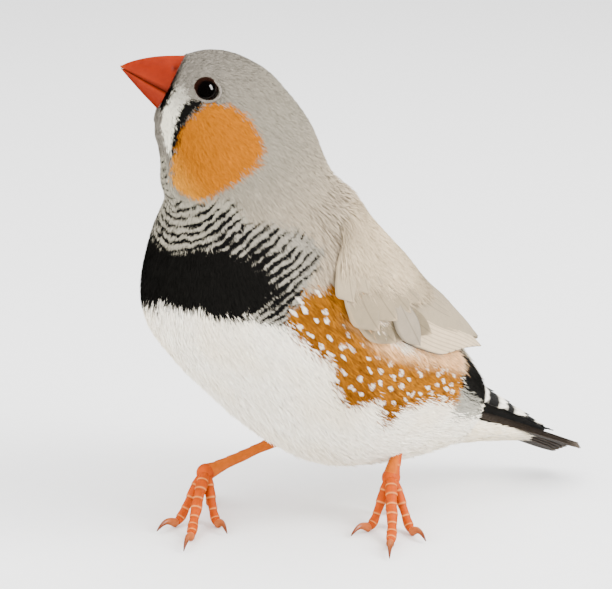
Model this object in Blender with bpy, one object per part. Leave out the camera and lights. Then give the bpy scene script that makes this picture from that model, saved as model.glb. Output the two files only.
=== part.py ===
"""A male zebra finch, life size, standing with its head turned to its right.

Lengths below are millimetres in the bird's own directions: forward, left and up from the floor.
The bird faces -Y, its left side is +X, and the floor is z = 0. The finished objects are in metres.
"""

import math

import bmesh
import bpy
import numpy as np
from mathutils import Matrix, Vector

METRES = 0.001
GAP = 0.3  # the clear space between two nodes that touch
RING_SIDES = 28

# The trunk from the face to the tail root: one row for each cross-section that was measured.
# forward, left, up: the middle of the section; half_width; back, belly: its depth above and
# below the middle; then three angles in degrees. roll: how far the belly turns to the bird's
# left; turn: how far the section faces to the bird's left; pitch: how far it faces up.
TRUNK = [
    ("face", 16.3, -4.6, 66.5, 4.7, 4.6, 6.3, 0, -36, 27),
    ("lores", 15.0, -3.7, 65.8, 6.5, 6.3, 8.1, 0, -36, 33),
    ("brow", 13.3, -2.5, 64.6, 7.5, 7.7, 9.4, 0, -35, 40),
    ("crown", 11.5, -1.3, 61.9, 8.4, 9.5, 10.5, 1, -32, 49),
    ("nape", 10.2, -0.5, 58.2, 9.5, 11.1, 11.2, 3, -24, 58),
    ("throat", 9.2, 0.0, 53.7, 10.9, 13.0, 11.2, 6, -14, 63),
    ("collar", 8.3, 0.0, 49.0, 13.0, 13.9, 15.3, 9, -6, 63),
    ("breast", 6.8, 0.0, 43.9, 15.1, 13.9, 20.0, 11, -1, 58),
    ("keel", 4.0, 0.0, 38.6, 16.0, 14.0, 19.3, 12, 0, 51),
    ("middle", -0.6, 0.0, 33.2, 16.1, 14.1, 18.6, 12, 0, 44),
    ("belly", -7.0, 0.3, 27.8, 15.8, 13.2, 18.9, 12, -3, 38),
    ("loin", -13.6, 1.2, 23.0, 14.4, 11.6, 18.2, 13, -8, 33),
    ("hip", -20.0, 2.8, 18.8, 12.1, 10.0, 14.8, 15, -14, 30),
    ("rump", -25.6, 4.6, 15.2, 8.7, 7.5, 10.6, 18, -18, 28),
    ("tail_root", -30.4, 6.3, 12.2, 5.6, 4.4, 6.2, 21, -20, 26),
]

# Where the trunk is cut into the parts that a person would name, by section.
TRUNK_NODES = [
    ("head", "face", "throat", 12),
    ("neck", "throat", "collar", 4),
    ("breast", "collar", "middle", 9),
    ("torso", "middle", "hip", 9),
    ("rump", "hip", "tail_root", 7),
]

COLOURS = {
    "grey_plumage": (0.42, 0.39, 0.36, 0.85),
    "breast_plumage": (0.06, 0.06, 0.06, 0.85),
    "white_plumage": (0.80, 0.77, 0.72, 0.85),
    "wing_plumage": (0.45, 0.40, 0.34, 0.75),
    "tail_plumage": (0.05, 0.05, 0.05, 0.7),
    "bill_horn": (0.75, 0.10, 0.02, 0.35),
    "leg_skin": (0.85, 0.27, 0.06, 0.5),
    "claw_horn": (0.62, 0.24, 0.06, 0.4),
    "eye_wet": (0.012, 0.006, 0.004, 0.08),
}


def clear_scene():
    for old in list(bpy.data.objects):
        bpy.data.objects.remove(old)


def collection(name):
    made = bpy.data.collections.new(name)
    bpy.context.scene.collection.children.link(made)
    return made


def material(name):
    found = bpy.data.materials.get(name)
    if found:
        return found
    made = bpy.data.materials.new(name)
    made.use_nodes = True
    red, green, blue, roughness = COLOURS[name]
    shader = made.node_tree.nodes["Principled BSDF"]
    shader.inputs["Base Color"].default_value = (red, green, blue, 1)
    shader.inputs["Roughness"].default_value = roughness
    return made


def to_world(points):
    """Bird points in millimetres to world points in metres."""
    points = np.asarray(points, float)
    return np.stack([points[..., 1], -points[..., 0], points[..., 2]], -1) * METRES


def mesh_object(name, points, faces, parts, colour=None):
    mesh = bpy.data.meshes.new(name)
    mesh.from_pydata([tuple(p) for p in to_world(points)], [], faces)
    work = bmesh.new()
    work.from_mesh(mesh)
    bmesh.ops.recalc_face_normals(work, faces=work.faces)
    work.to_mesh(mesh)
    work.free()
    made = bpy.data.objects.new(name, mesh)
    parts.objects.link(made)
    if colour:
        mesh.materials.append(material(colour))
    return made


def unit(vector):
    return vector / np.linalg.norm(vector)


def blend(rows, at):
    """Reads a smooth curve through the rows at a place between them, with 0 the first row."""
    last = len(rows) - 1
    low = int(min(max(math.floor(at), 0), last - 1))
    u = at - low
    before, here, there, after = (rows[min(max(low + i, 0), last)] for i in (-1, 0, 1, 2))
    return 0.5 * (
        2 * here
        + (there - before) * u
        + (2 * before - 5 * here + 4 * there - after) * u**2
        + (3 * here - before - 3 * there + after) * u**3
    )


TRUNK_ROWS = np.array([row[1:] for row in TRUNK], float)
SECTION = {row[0]: index for index, row in enumerate(TRUNK)}


class Section:
    """One cross-section of the trunk: its middle, its directions and its half sizes."""

    def __init__(self, at):
        row = blend(TRUNK_ROWS, at)
        self.middle = row[:3]
        self.half_width, self.back, self.belly = row[3:6]
        roll, turn, pitch = (math.radians(angle) for angle in row[6:9])
        level = np.array([math.cos(turn), math.sin(turn), 0.0])
        left = np.array([-math.sin(turn), math.cos(turn), 0.0])
        up = np.array([0.0, 0.0, 1.0])
        self.forward = level * math.cos(pitch) + up * math.sin(pitch)
        dorsal = up * math.cos(pitch) - level * math.sin(pitch)
        self.left = left * math.cos(roll) + dorsal * math.sin(roll)
        self.dorsal = dorsal * math.cos(roll) - left * math.sin(roll)

    def point(self, around, lift=0.0):
        """around is in degrees: 0 the belly, 90 the left side, 180 the back, 270 the right."""
        a = math.radians(around)
        depth = self.belly if math.cos(a) > 0 else self.back
        side = (self.half_width + lift) * math.sin(a)
        down = (depth + lift) * math.cos(a)
        return self.middle + self.left * side - self.dorsal * down


def loft(rings, sheet=False):
    """A closed mesh through rings of equal length, with a fan over each end.

    A sheet's ring runs out over one face and back over the other, and both are split alike.
    """
    points = [p for ring in rings for p in ring]
    count = len(rings[0])
    faces = []
    for row in range(len(rings) - 1):
        for i in range(count):
            a, b = row * count + i, row * count + (i + 1) % count
            c, d = b + count, a + count
            faces += [(a, b, d), (b, c, d)] if sheet and i >= count // 2 else [(a, b, c), (a, c, d)]
    for row in (0, len(rings) - 1):
        centre = len(points)
        points.append(np.mean(rings[row], axis=0))
        for i in range(count):
            faces.append((centre, row * count + i, row * count + (i + 1) % count))
    return np.array(points), faces


VANE_ROWS = (0.0, 0.4, 0.74, 0.91, 1.0)
LONG_VANE_ROWS = (0.0, 0.25, 0.5, 0.74, 0.91, 1.0)


def vane(name, root, tip, width, place, lifts, pieces, thick=0.52, tilt=0.0, rows=VANE_ROWS):
    """A feather on a curved surface. root and tip are millimetres on it, and place raises a spot.

    lifts is its height above the surface at root and tip; tilt raises one edge and lowers the other.
    """
    root, tip = np.array(root, float), np.array(tip, float)
    along = tip - root
    side = np.array([-along[1], along[0]]) / np.linalg.norm(along)
    rings = []
    for u in rows:
        half = width / 2 * min(0.6 + 1.1 * u, 1.0)
        half *= math.sqrt(max(1 - (max(u - 0.55, 0) / 0.47) ** 2.2, 0.0))
        lift = lifts[0] + (lifts[1] - lifts[0]) * u
        depth = thick if u < 1 else thick * 0.6
        edges = [(root + along * u + side * half * across, lift + tilt * across) for across in (-1, 1)]
        top = [place(spot, height + depth) for spot, height in edges]
        bottom = [place(spot, height) for spot, height in edges]
        rings.append(top + bottom[::-1])
    return mesh_object(name, *loft(rings, sheet=True), pieces)


def trunk_rings(start, end, steps, lift=0.0, end_gap=0.0):
    rings = []
    for k in range(steps + 1):
        section = Section(start + (end - start) * k / steps)
        shift = (k == 0) * end_gap - (k == steps) * end_gap
        ring = [
            section.point(360 * i / RING_SIDES, lift) + section.forward * -shift
            for i in range(RING_SIDES)
        ]
        rings.append(ring)
    return rings


def tube(path, radii, sides, flat=1.0, up=(0.0, 0.0, 1.0)):
    """Rings round a path. flat squeezes each ring in the direction nearest to up."""
    path = np.asarray(path, float)
    rings = []
    for k, middle in enumerate(path):
        along = unit(path[min(k + 1, len(path) - 1)] - path[max(k - 1, 0)])
        side = unit(np.cross(along, up))
        over = np.cross(side, along)
        radius = radii[k]
        rings.append(
            [
                middle
                + side * radius * math.cos(2 * math.pi * i / sides)
                + over * radius * flat * math.sin(2 * math.pi * i / sides)
                for i in range(sides)
            ]
        )
    return rings


def boolean(target, other, operation, solver="EXACT"):
    """Applies one Boolean. other is an object or, for a union, a collection of them."""
    modifier = target.modifiers.new(operation.title(), "BOOLEAN")
    modifier.operation = operation
    modifier.solver = solver
    if isinstance(other, bpy.types.Collection):
        modifier.operand_type = "COLLECTION"
        modifier.collection = other
    else:
        modifier.object = other
    graph = bpy.context.evaluated_depsgraph_get()
    mesh = bpy.data.meshes.new_from_object(target.evaluated_get(graph))
    target.modifiers.clear()
    target.data = mesh


def keep_largest(target):
    """Leaves only the largest closed surface, so that a sealed hollow or a scrap is dropped."""
    work = bmesh.new()
    work.from_mesh(target.data)
    bmesh.ops.triangulate(work, faces=work.faces)
    left = set(work.faces)
    shells = []
    while left:
        shell, grow = set(), [left.pop()]
        while grow:
            face = grow.pop()
            shell.add(face)
            for edge in face.edges:
                for other in edge.link_faces:
                    if other in left:
                        left.remove(other)
                        grow.append(other)
        shells.append(shell)
    largest = max(shells, key=lambda s: sum(face.calc_area() for face in s))
    drop = [face for shell in shells if shell is not largest for face in shell]
    bmesh.ops.delete(work, geom=drop, context="FACES")
    work.to_mesh(target.data)
    work.free()


def cut_away(target, cutters):
    for cutter in cutters:
        boolean(target, cutter, "DIFFERENCE")
        bpy.data.objects.remove(cutter)
    keep_largest(target)


def fuse(target, pieces, solver="EXACT"):
    """Joins a collection of closed pieces to target and removes the collection's objects."""
    boolean(target, pieces, "UNION", solver)
    for piece in list(pieces.objects):
        bpy.data.objects.remove(piece)
    bpy.data.collections.remove(pieces)
    keep_largest(target)


# Trunk


def add_trunk(parts):
    colours = {
        "head": "grey_plumage",
        "neck": "grey_plumage",
        "breast": "breast_plumage",
        "torso": "white_plumage",
        "rump": "white_plumage",
    }
    for name, start, end, steps in TRUNK_NODES:
        first, last = SECTION[start], SECTION[end]
        rings = trunk_rings(first, last, steps, end_gap=GAP / 2)
        mesh_object(name, *loft(rings), parts, colours[name])


def trunk_cutter(cutters, clearance=GAP + 0.05):
    """The trunk grown by the gap, which wings and legs are cut back from."""
    last = len(TRUNK) - 1
    rings = trunk_rings(2, last, 40, lift=clearance)
    return mesh_object("trunk_cutter", *loft(rings), cutters)


# Bill: two horny sheaths, a deep cone with the mouth line between them

BILL_TIP = np.array([22.4, -9.0, 68.8])
BILL_SIDES = 14
BILL_RINGS = 7
NOSTRIL_OUT = 2.35
NOSTRIL_UP = 2.3
NOSTRIL_RADIUS = 0.5


def head_frame():
    """The face's middle with its forward, left and up directions, which the bill grows along."""
    face = Section(0)
    forward = unit(BILL_TIP - face.middle)
    left = unit(np.cross([0.0, 0.0, 1.0], forward))
    return face.middle, forward, left, np.cross(forward, left)


def bill_half(side):
    """side is 1 for the upper sheath and -1 for the lower one."""
    root, forward, left, up = head_frame()
    length = np.linalg.norm(BILL_TIP - root)
    facing = Section(0).forward
    half_width, depth = 3.5, (4.1 if side > 0 else 4.3)
    gape_drop = -1.3
    rings = []
    for k in range(BILL_RINGS + 1):
        u = k / BILL_RINGS
        taper = 1 - u
        swell = taper ** (0.78 if side > 0 else 0.95) if taper > 0 else 0.0
        swell = max(swell, 0.05)
        flat_level = gape_drop * taper ** 1.1 + side * GAP / 2
        if side < 0 and u > 0.97:
            continue
        middle = root + forward * (GAP + 0.1 + (length - GAP - 0.1) * u) + up * flat_level
        ring = []
        for i in range(BILL_SIDES + 1):
            a = math.pi * i / BILL_SIDES
            across = half_width * (swell if side > 0 else swell * 0.93) * math.cos(a)
            rise = side * (depth - side * gape_drop) * swell * math.sin(a) ** 0.9
            spot = middle + left * across + up * rise
            lean = np.dot(root + facing * (GAP + 0.05) - spot, facing) / np.dot(forward, facing)
            ring.append(spot + forward * lean * taper**6)
        rings.append(ring)
    return rings


def add_bill(parts):
    upper = mesh_object("bill_upper", *loft(bill_half(1)), parts, "bill_horn")
    root, forward, left, up = head_frame()
    nostrils = []
    for side in (1, -1):
        spot = root + forward * 1.1 + left * side * NOSTRIL_OUT + up * NOSTRIL_UP
        nostrils.append(ball("nostril", spot, NOSTRIL_RADIUS, parts, segments=10, rings=6))
    cut_away(upper, nostrils)
    mesh_object("bill_lower", *loft(bill_half(-1)), parts, "bill_horn")


# Eyes, sunk in the head inside a ring of bare lid

EYE_AT = 1.75  # section of the trunk
EYE_AROUND = 106  # degrees round that section, on the left; the right eye mirrors it
EYE_RADIUS = 2.05
EYE_PROUD = 0.8
LID_RADIUS = 2.2
LID_THICK = 0.33


def head_point(side, at, around, lift=0.0):
    """A point on the head; side is 1 on the left and -1 on the right."""
    return Section(at).point(around if side > 0 else 360 - around, lift)


def eye_place(side):
    """The eye's place on the head and its outward direction."""
    section = Section(EYE_AT)
    return head_point(side, EYE_AT, EYE_AROUND), unit(section.left * side + section.dorsal * 0.12)


def ball(name, middle, radius, parts, colour=None, segments=12, rings=8, axis=(0, 0, 1)):
    work = bmesh.new()
    bmesh.ops.create_uvsphere(work, u_segments=segments, v_segments=rings, radius=radius * METRES)
    mesh = bpy.data.meshes.new(name)
    work.to_mesh(mesh)
    work.free()
    made = bpy.data.objects.new(name, mesh)
    turn = Vector((0, 0, 1)).rotation_difference(Vector(to_world(np.array(axis, float))))
    made.data.transform(turn.to_matrix().to_4x4())
    made.data.transform(Matrix.Translation(to_world(middle)))
    parts.objects.link(made)
    if colour:
        mesh.materials.append(material(colour))
    return made


def lid_ring(name, side, parts):
    """A torus that follows the head round the eye."""
    surface, outward = eye_place(side)
    step = 0.05
    forward = (head_point(side, EYE_AT - step, EYE_AROUND) - surface) / step
    upward = head_point(side, EYE_AT, EYE_AROUND + 1) - surface
    turns, sides = 16, 6
    points, faces = [], []
    for i in range(turns):
        a = 2 * math.pi * i / turns
        at = EYE_AT - LID_RADIUS * math.cos(a) / np.linalg.norm(forward)
        around = EYE_AROUND + LID_RADIUS * math.sin(a) / np.linalg.norm(upward)
        middle = head_point(side, at, around)
        spoke = unit(middle - surface)
        for j in range(sides):
            b = 2 * math.pi * j / sides
            points.append(middle + (spoke * math.cos(b) + outward * math.sin(b)) * LID_THICK)
    for i in range(turns):
        for j in range(sides):
            a, b = i * sides + j, i * sides + (j + 1) % sides
            c, d = ((i + 1) % turns) * sides + (j + 1) % sides, ((i + 1) % turns) * sides + j
            faces.append((a, b, c, d))
    return mesh_object(name, np.array(points), faces, parts)


def add_eyes(parts):
    head = bpy.data.objects["head"]
    lids = collection("lids")
    balls = []
    for side, name in ((1, "eye_left"), (-1, "eye_right")):
        surface, outward = eye_place(side)
        middle = surface - outward * (EYE_RADIUS - EYE_PROUD)
        lid_ring(name + "_lid", side, lids)
        balls.append((name, middle, outward))
    fuse(head, lids)
    sockets = [ball(n + "_socket", m, EYE_RADIUS + GAP, parts, axis=o) for n, m, o in balls]
    cut_away(head, sockets)
    for name, middle, outward in balls:
        ball(name, middle, EYE_RADIUS, parts, "eye_wet", axis=outward)


# Tail group: coverts over and under a fan of vanes, all along the tail's own direction

TAIL_TIP = np.array([-49.8, 12.6, 3.5])
RECTRIX_PAIRS = 4
RECTRIX_STEP = 0.68  # each pair stands this much further out
RECTRIX_WIDTH = 2.7


def tail_frame():
    """The tail's root with its directions: along it, to the left and up."""
    section = Section(len(TRUNK) - 1)
    root = section.middle - section.forward * (GAP / 2)
    along = unit(TAIL_TIP - root)
    left = unit(section.left - along * np.dot(section.left, along))
    return root, along, left, np.cross(left, along)


def tail_place(point):
    """A point in the tail's own directions, to the bird's. A point at 0 lies on the rump's end."""
    root, along, left, up = tail_frame()
    placed = root + along * point[0] + left * point[1] + up * point[2]
    if point[0] > 0:
        return placed
    facing = Section(len(TRUNK) - 1).forward
    return placed - along * np.dot(placed - root, facing) / np.dot(along, facing)


def covert_core(length, width, root_width, thick, rows, level, drop):
    """Rings of a rounded wedge, with the function that lays a spot on its upper or lower face."""

    def shape(u):
        half = 0.5 * (root_width + (width - root_width) * min(u / 0.5, 1.0))
        half *= math.sqrt(max(1 - (max(u - 0.5, 0) / 0.52) ** 2, 0.0))
        return half, thick / 2 * (1 - 0.72 * u), level + drop * u

    def place(spot, lift):
        half, high, middle = shape(min(max(spot[0] / length, 0.0), 1.0))
        bulge = math.sqrt(max(1 - (spot[1] / max(half, 0.1)) ** 2, 0.02))
        face = 1 if level > 0 else -1
        return tail_place((max(spot[0], 0.05), spot[1], middle + face * (high * bulge + lift)))

    rings = []
    for k in range(rows + 1):
        half, high, middle = shape(k / rows)
        angles = [2 * math.pi * i / 10 for i in range(10)]
        rings.append(
            [
                tail_place((length * k / rows, half * math.cos(a), middle + high * math.sin(a)))
                for a in angles
            ]
        )
    return rings, place


def add_coverts(parts, name, colour, core, tiers):
    rings, place = core
    node = mesh_object(name, *loft(rings), parts, colour)
    feathers = collection(name + "_feathers")
    for tier, (start, end, count, spread, width) in enumerate(tiers):
        for i in range(count):
            across = spread * (i / (count - 1) - 0.5) + 0.11 * (tier + 1)
            reach = 1.4 * (2 * abs(across) / spread) ** 2
            vary = 0.04 * math.sin(5 * i + 3 * tier)
            vane(
                f"covert_{tier}_{i}",
                (start + 0.13 * i, across * 0.85),
                (end - reach, across),
                width * (1 + vary),
                place,
                (-0.36 + vary, 0.12 + vary),
                feathers,
                tilt=0.1 if across >= 0 else -0.1,
            )
    fuse(node, feathers, "MANIFOLD")


def add_rectrices(parts, length):
    """Pairs of tail feathers, the middle pair on top, on a short core that holds them."""
    core, _ = covert_core(length * 0.28, 6.0, 6.6, 1.9, 3, -0.6, -0.3)
    tail = mesh_object("tail", *loft(core), parts, "tail_plumage")
    feathers = collection("rectrices")

    def place(spot, lift):
        return tail_place((max(spot[0], 0.05), spot[1], lift))

    for pair in range(RECTRIX_PAIRS):
        for side in (1, -1):
            out = 0.62 + RECTRIX_STEP * pair
            level = -0.35 + (0.18 if side > 0 else 0.0) - 0.38 * pair
            vane(
                f"rectrix_{pair}_{side}",
                (0.6, side * out * 0.75),
                (length * (1 - 0.014 * pair), side * out * 1.05),
                RECTRIX_WIDTH,
                place,
                (level, level - 0.15),
                feathers,
                tilt=-0.12 * side,
            )
    fuse(tail, feathers)


def add_tail(parts):
    length = float(np.linalg.norm(TAIL_TIP - tail_frame()[0]))
    add_rectrices(parts, length)
    over = covert_core(length * 0.66, 6.6, 7.4, 3.4, 5, 2.75, -1.4)
    tiers = [(0.2, 7.4, 4, 5.0, 2.9), (4.2, 12.2, 3, 4.0, 3.1), (8.6, length * 0.75, 3, 3.0, 3.0)]
    add_coverts(parts, "tail_coverts_upper", "tail_plumage", over, tiers)
    under = covert_core(length * 0.5, 6.6, 7.8, 4.2, 5, -4.0, 1.4)
    tiers = [(0.4, 7.0, 3, 4.4, 3.4), (4.0, length * 0.58, 3, 3.2, 3.0)]
    add_coverts(parts, "tail_coverts_under", "white_plumage", under, tiers)


# Legs

LEGS = {
    "left": {
        "root": (-12.1, 10.3, 5.4),
        "ankle": (-17.6, 9.4, 18.0),
        "yaw": {"middle": 47, "inner": 8, "outer": 78, "hind": 228},
    },
    "right": {
        "root": (7.5, -9.8, 5.2),
        "ankle": (-7.6, -8.2, 8.4),
        "yaw": {"middle": 41, "inner": 72, "outer": 8, "hind": 224},
    },
}
TOES = {
    "middle": {"length": 13.2, "claw": 5.0, "thick": 0.88},
    "inner": {"length": 8.6, "claw": 3.8, "thick": 0.78},
    "outer": {"length": 9.4, "claw": 3.8, "thick": 0.78},
    "hind": {"length": 7.8, "claw": 4.4, "thick": 0.82},
}
TARSUS_RADIUS = 1.0
TARSUS_SCUTES = 7
PALM_RADIUS = 1.35
SCUTE = 1.5  # length of one scute on a toe
SCUTE_STEP = 0.09  # how far each scute's edge stands over the next
TOE_SIDES = 7
FLOOR = -1.8  # in the directions that the body was measured in


def on_floor(rings):
    """Flattens what would pass under the floor, which gives the toes their pads."""
    return [[np.array([p[0], p[1], max(p[2], FLOOR)]) for p in ring] for ring in rings]


def toe_point(root, yaw, length, share, thick):
    """The middle of a toe at a share of its length: it arches down on to the floor."""
    heading = np.array([math.cos(yaw), math.sin(yaw), 0.0])
    end = FLOOR + thick * 0.82
    reach = math.sqrt(length**2 - (root[2] - end) ** 2) * 0.97
    height = end + (root[2] - end) * (0.5 + 0.5 * math.cos(math.pi * share**0.9))
    return np.array([root[0], root[1], height]) + heading * (reach * share)


def toe_rings(root, yaw, length, thick):
    """Overlapping scutes along a toe, each widest at its far edge, with pads at the joints."""
    count = round(length / SCUTE)
    tip = toe_point(root, yaw, length, 1.0, thick) - root
    end = 1 - (GAP + 0.15) / math.hypot(tip[0], tip[1])
    path, radii = [], []
    for k in range(count):
        for part in (0.0, 0.92):
            share = end * (k + part) / (count - 0.08)
            swell = 0.05 * math.cos(2 * math.pi * share * length / 3.6)
            path.append(toe_point(root, yaw, length, share, thick))
            radii.append(thick * (1 - 0.2 * share + swell) + SCUTE_STEP * (part > 0))
    return on_floor(tube(path, radii, TOE_SIDES))


def claw_rings(root, yaw, start, length, thick):
    heading = np.array([math.cos(yaw), math.sin(yaw), 0.0])
    base = toe_point(root, yaw, start, 1.0, thick)
    steps = 5
    path, radii = [], []
    for k in range(steps + 1):
        u = k / steps
        height = base[2] * (1 - u) + (FLOOR + 0.25) * u + 0.8 * math.sin(math.pi * u * 0.9)
        path.append(np.array([base[0], base[1], height]) + heading * (length * u))
        radii.append(0.5 * (1 - u) ** 0.8 + 0.12)
    return on_floor(tube(path, radii, 6))


def tarsus_rings(start, end):
    """The shank, with scutes whose lower edges stand over the next ones."""
    path, radii = [], []
    for k in range(TARSUS_SCUTES):
        for part in (0.0, 0.93):
            u = (k + part) / TARSUS_SCUTES
            path.append(start + (end - start) * u)
            radii.append(TARSUS_RADIUS * (1.1 - 0.22 * math.sin(math.pi * u)) + SCUTE_STEP * (part > 0))
    return tube(path, radii, 10, up=(1.0, 0.0, 0.0))


def add_leg(parts, side):
    leg = LEGS[side]
    root, ankle = (np.array(leg[key], float) for key in ("root", "ankle"))
    down = unit(root - ankle)
    tarsus = mesh_object("tarsus_" + side, *loft(tarsus_rings(ankle, root)), parts, "leg_skin")
    palm_cut = ball("palm_cut", root, PALM_RADIUS + GAP, parts)
    cut_away(tarsus, [trunk_cutter(parts), palm_cut])
    foot = ball("foot_" + side, root, PALM_RADIUS, parts, "leg_skin", 12, 8, axis=down)
    toes = collection("toes_" + side)
    for toe, size in TOES.items():
        yaw = math.radians(leg["yaw"][toe])
        rings = toe_rings(root, yaw, size["length"], size["thick"])
        mesh_object("toe_" + toe, *loft(rings), toes)
    fuse(foot, toes)
    for toe, size in TOES.items():
        yaw = math.radians(leg["yaw"][toe])
        rings = claw_rings(root, yaw, size["length"], size["claw"], size["thick"])
        mesh_object(f"claw_{side}_{toe}", *loft(rings), parts, "claw_horn")


# Wings: a cambered sheet between a lower and an upper edge, left side; the right mirrors it

WING_STATIONS = [
    # section, lower edge and upper edge in degrees round the trunk
    (6.8, 106, 128),
    (7.5, 93, 146),
    (8.4, 85, 158),
    (9.6, 86, 166),
    (10.8, 95, 170),
    (12.0, 109, 170),
    (13.4, 126, 160),
]
WING_LENGTH = 46.0
WING_ROWS = 10
WING_COLUMNS = 6
WING_CLEAR = 0.6  # between the trunk and the wing's inner face
WING_TIP_LIFT = 2.7
BASE_END = 0.84  # the sheet stops here, and only the primaries go on


def wing_edges(share):
    """Section, lower and upper edge at a share of the wing's length."""
    return blend(np.array(WING_STATIONS, float), share * (len(WING_STATIONS) - 1))


def sheet_top(share, across):
    swell = math.sin(math.pi * min(max(across, 0), 1))
    return 0.5 + 0.8 * swell * max(1 - 1.15 * share, 0.0) ** 0.7 * min(0.3 + 4 * share, 1.0)


def wing_point(side, share, across, lift):
    """across runs from 0 at the lower edge to 1 at the upper edge; lift is above the inner face."""
    at, low, high = wing_edges(share)
    around = low + (high - low) * across
    around = around if side == "left" else 360 - around
    return Section(at).point(around, WING_CLEAR + WING_TIP_LIFT * share**3 + lift)


def wing_sheet(side):
    rows = []
    for k in range(WING_ROWS + 1):
        share = BASE_END * k / WING_ROWS
        narrow = 1 - 0.62 * max(share - 0.5, 0) / (BASE_END - 0.5)
        spots = [0.04 + 0.9 * narrow * i / WING_COLUMNS for i in range(WING_COLUMNS + 1)]
        outer = [wing_point(side, share, spot, sheet_top(share, spot)) for spot in spots]
        inner = [wing_point(side, share, spot, 0.0) for spot in spots]
        rows.append(outer + inner[::-1])
    return rows


def wing_feathers(side, pieces):
    """Tiers of feathers on the sheet: primaries lowest, then secondaries, tertials and coverts."""

    def place(spot, lift):
        share = min(max(spot[0] / WING_LENGTH, 0.0), 1.0)
        at, low, high = wing_edges(share)
        section = Section(at)
        millimetres = math.radians(high - low) * (section.half_width + section.back + 4) / 2
        across = spot[1] / millimetres
        top = sheet_top(share, across) if share < BASE_END else 0.5
        return wing_point(side, share, across, max(top + lift, 0.0))

    tiers = [
        # name, how many, first root, step; first tip, step; width, lifts
        ("primary", 5, (17, 6.8), (0.6, -0.5), (37.0, 4.9), (2.1, -0.55), 3.5, (-0.5, -0.45)),
        ("secondary", 3, (12, 5.0), (0.5, 2.6), (27.0, 5.4), (2.0, 2.6), 4.4, (-0.45, -0.05)),
        ("tertial", 4, (12, 18.4), (1.3, -3.1), (27.5, 17.4), (3.4, -3.4), 5.4, (-0.35, 0.25)),
        ("greater_covert", 6, (4.5, 2.7), (0.5, 3.3), (17.0, 2.2), (0.7, 3.5), 4.6, (-0.42, 0.28)),
        ("median_covert", 5, (1.5, 2.9), (0.4, 3.3), (9.6, 2.4), (0.6, 3.5), 4.5, (-0.45, 0.3)),
    ]
    for name, count, root, root_step, tip, tip_step, width, lifts in tiers:
        for i in range(count):
            order = 0.05 * (count - 1 - i) if name == "primary" else 0.0
            vane(
                f"{name}_{i}",
                (root[0] + root_step[0] * i, root[1] + root_step[1] * i),
                (tip[0] + tip_step[0] * i, tip[1] + tip_step[1] * i),
                width,
                place,
                (lifts[0] + order, lifts[1] + order),
                pieces,
                tilt=0.12,
                rows=LONG_VANE_ROWS if name in ("primary", "secondary", "tertial") else VANE_ROWS,
            )


def add_wing(parts, side):
    wing = mesh_object("wing_" + side, *loft(wing_sheet(side), sheet=True), parts, "wing_plumage")
    feathers = collection("feathers_" + side)
    wing_feathers(side, feathers)
    fuse(wing, feathers)


def stand_at_origin(parts):
    """Moves every part so that the middle of the footprint is the origin and the floor is z = 0."""
    points = np.array([v.co for part in parts.objects for v in part.data.vertices])
    low, high = points.min(axis=0), points.max(axis=0)
    shift = Vector((-(low[0] + high[0]) / 2, -(low[1] + high[1]) / 2, -low[2]))
    for part in parts.objects:
        part.data.transform(Matrix.Translation(shift))


def main():
    clear_scene()
    parts = collection("zebra_finch")
    add_trunk(parts)
    add_bill(parts)
    add_eyes(parts)
    add_tail(parts)
    for side in ("left", "right"):
        add_leg(parts, side)
        add_wing(parts, side)
    stand_at_origin(parts)


main()
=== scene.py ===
"""A male zebra finch, life size, standing with its head turned to its right, as a still model.

Lengths are millimetres in the bird's own directions: forward, left and up from where its body was
measured. to_world turns them to the model's metres, where the bird faces -Y and its left is +X.
A place on the body is "at", in cross-sections from the face, and "angle", in degrees round it: 0
the belly, 90 the left side, 180 the back. "side" is the same on the left and on the right.
"""

from functools import partial
import math

import bpy
import numpy as np
from mathutils import Matrix, Vector


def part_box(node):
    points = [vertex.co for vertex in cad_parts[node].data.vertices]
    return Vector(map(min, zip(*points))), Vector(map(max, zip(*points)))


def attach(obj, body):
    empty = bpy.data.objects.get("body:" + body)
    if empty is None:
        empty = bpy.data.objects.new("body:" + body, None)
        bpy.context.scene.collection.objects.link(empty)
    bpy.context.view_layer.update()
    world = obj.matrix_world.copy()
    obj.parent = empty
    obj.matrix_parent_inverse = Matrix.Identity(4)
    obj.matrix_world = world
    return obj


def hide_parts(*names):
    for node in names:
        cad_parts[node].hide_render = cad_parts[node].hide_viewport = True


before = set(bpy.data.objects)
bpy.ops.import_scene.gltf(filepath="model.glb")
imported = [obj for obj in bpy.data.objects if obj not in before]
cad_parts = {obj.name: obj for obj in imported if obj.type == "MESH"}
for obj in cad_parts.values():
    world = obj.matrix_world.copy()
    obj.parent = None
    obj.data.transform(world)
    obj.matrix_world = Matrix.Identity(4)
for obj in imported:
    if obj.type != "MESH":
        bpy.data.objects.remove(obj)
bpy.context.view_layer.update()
bpy.ops.object.select_all(action="DESELECT")

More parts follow.
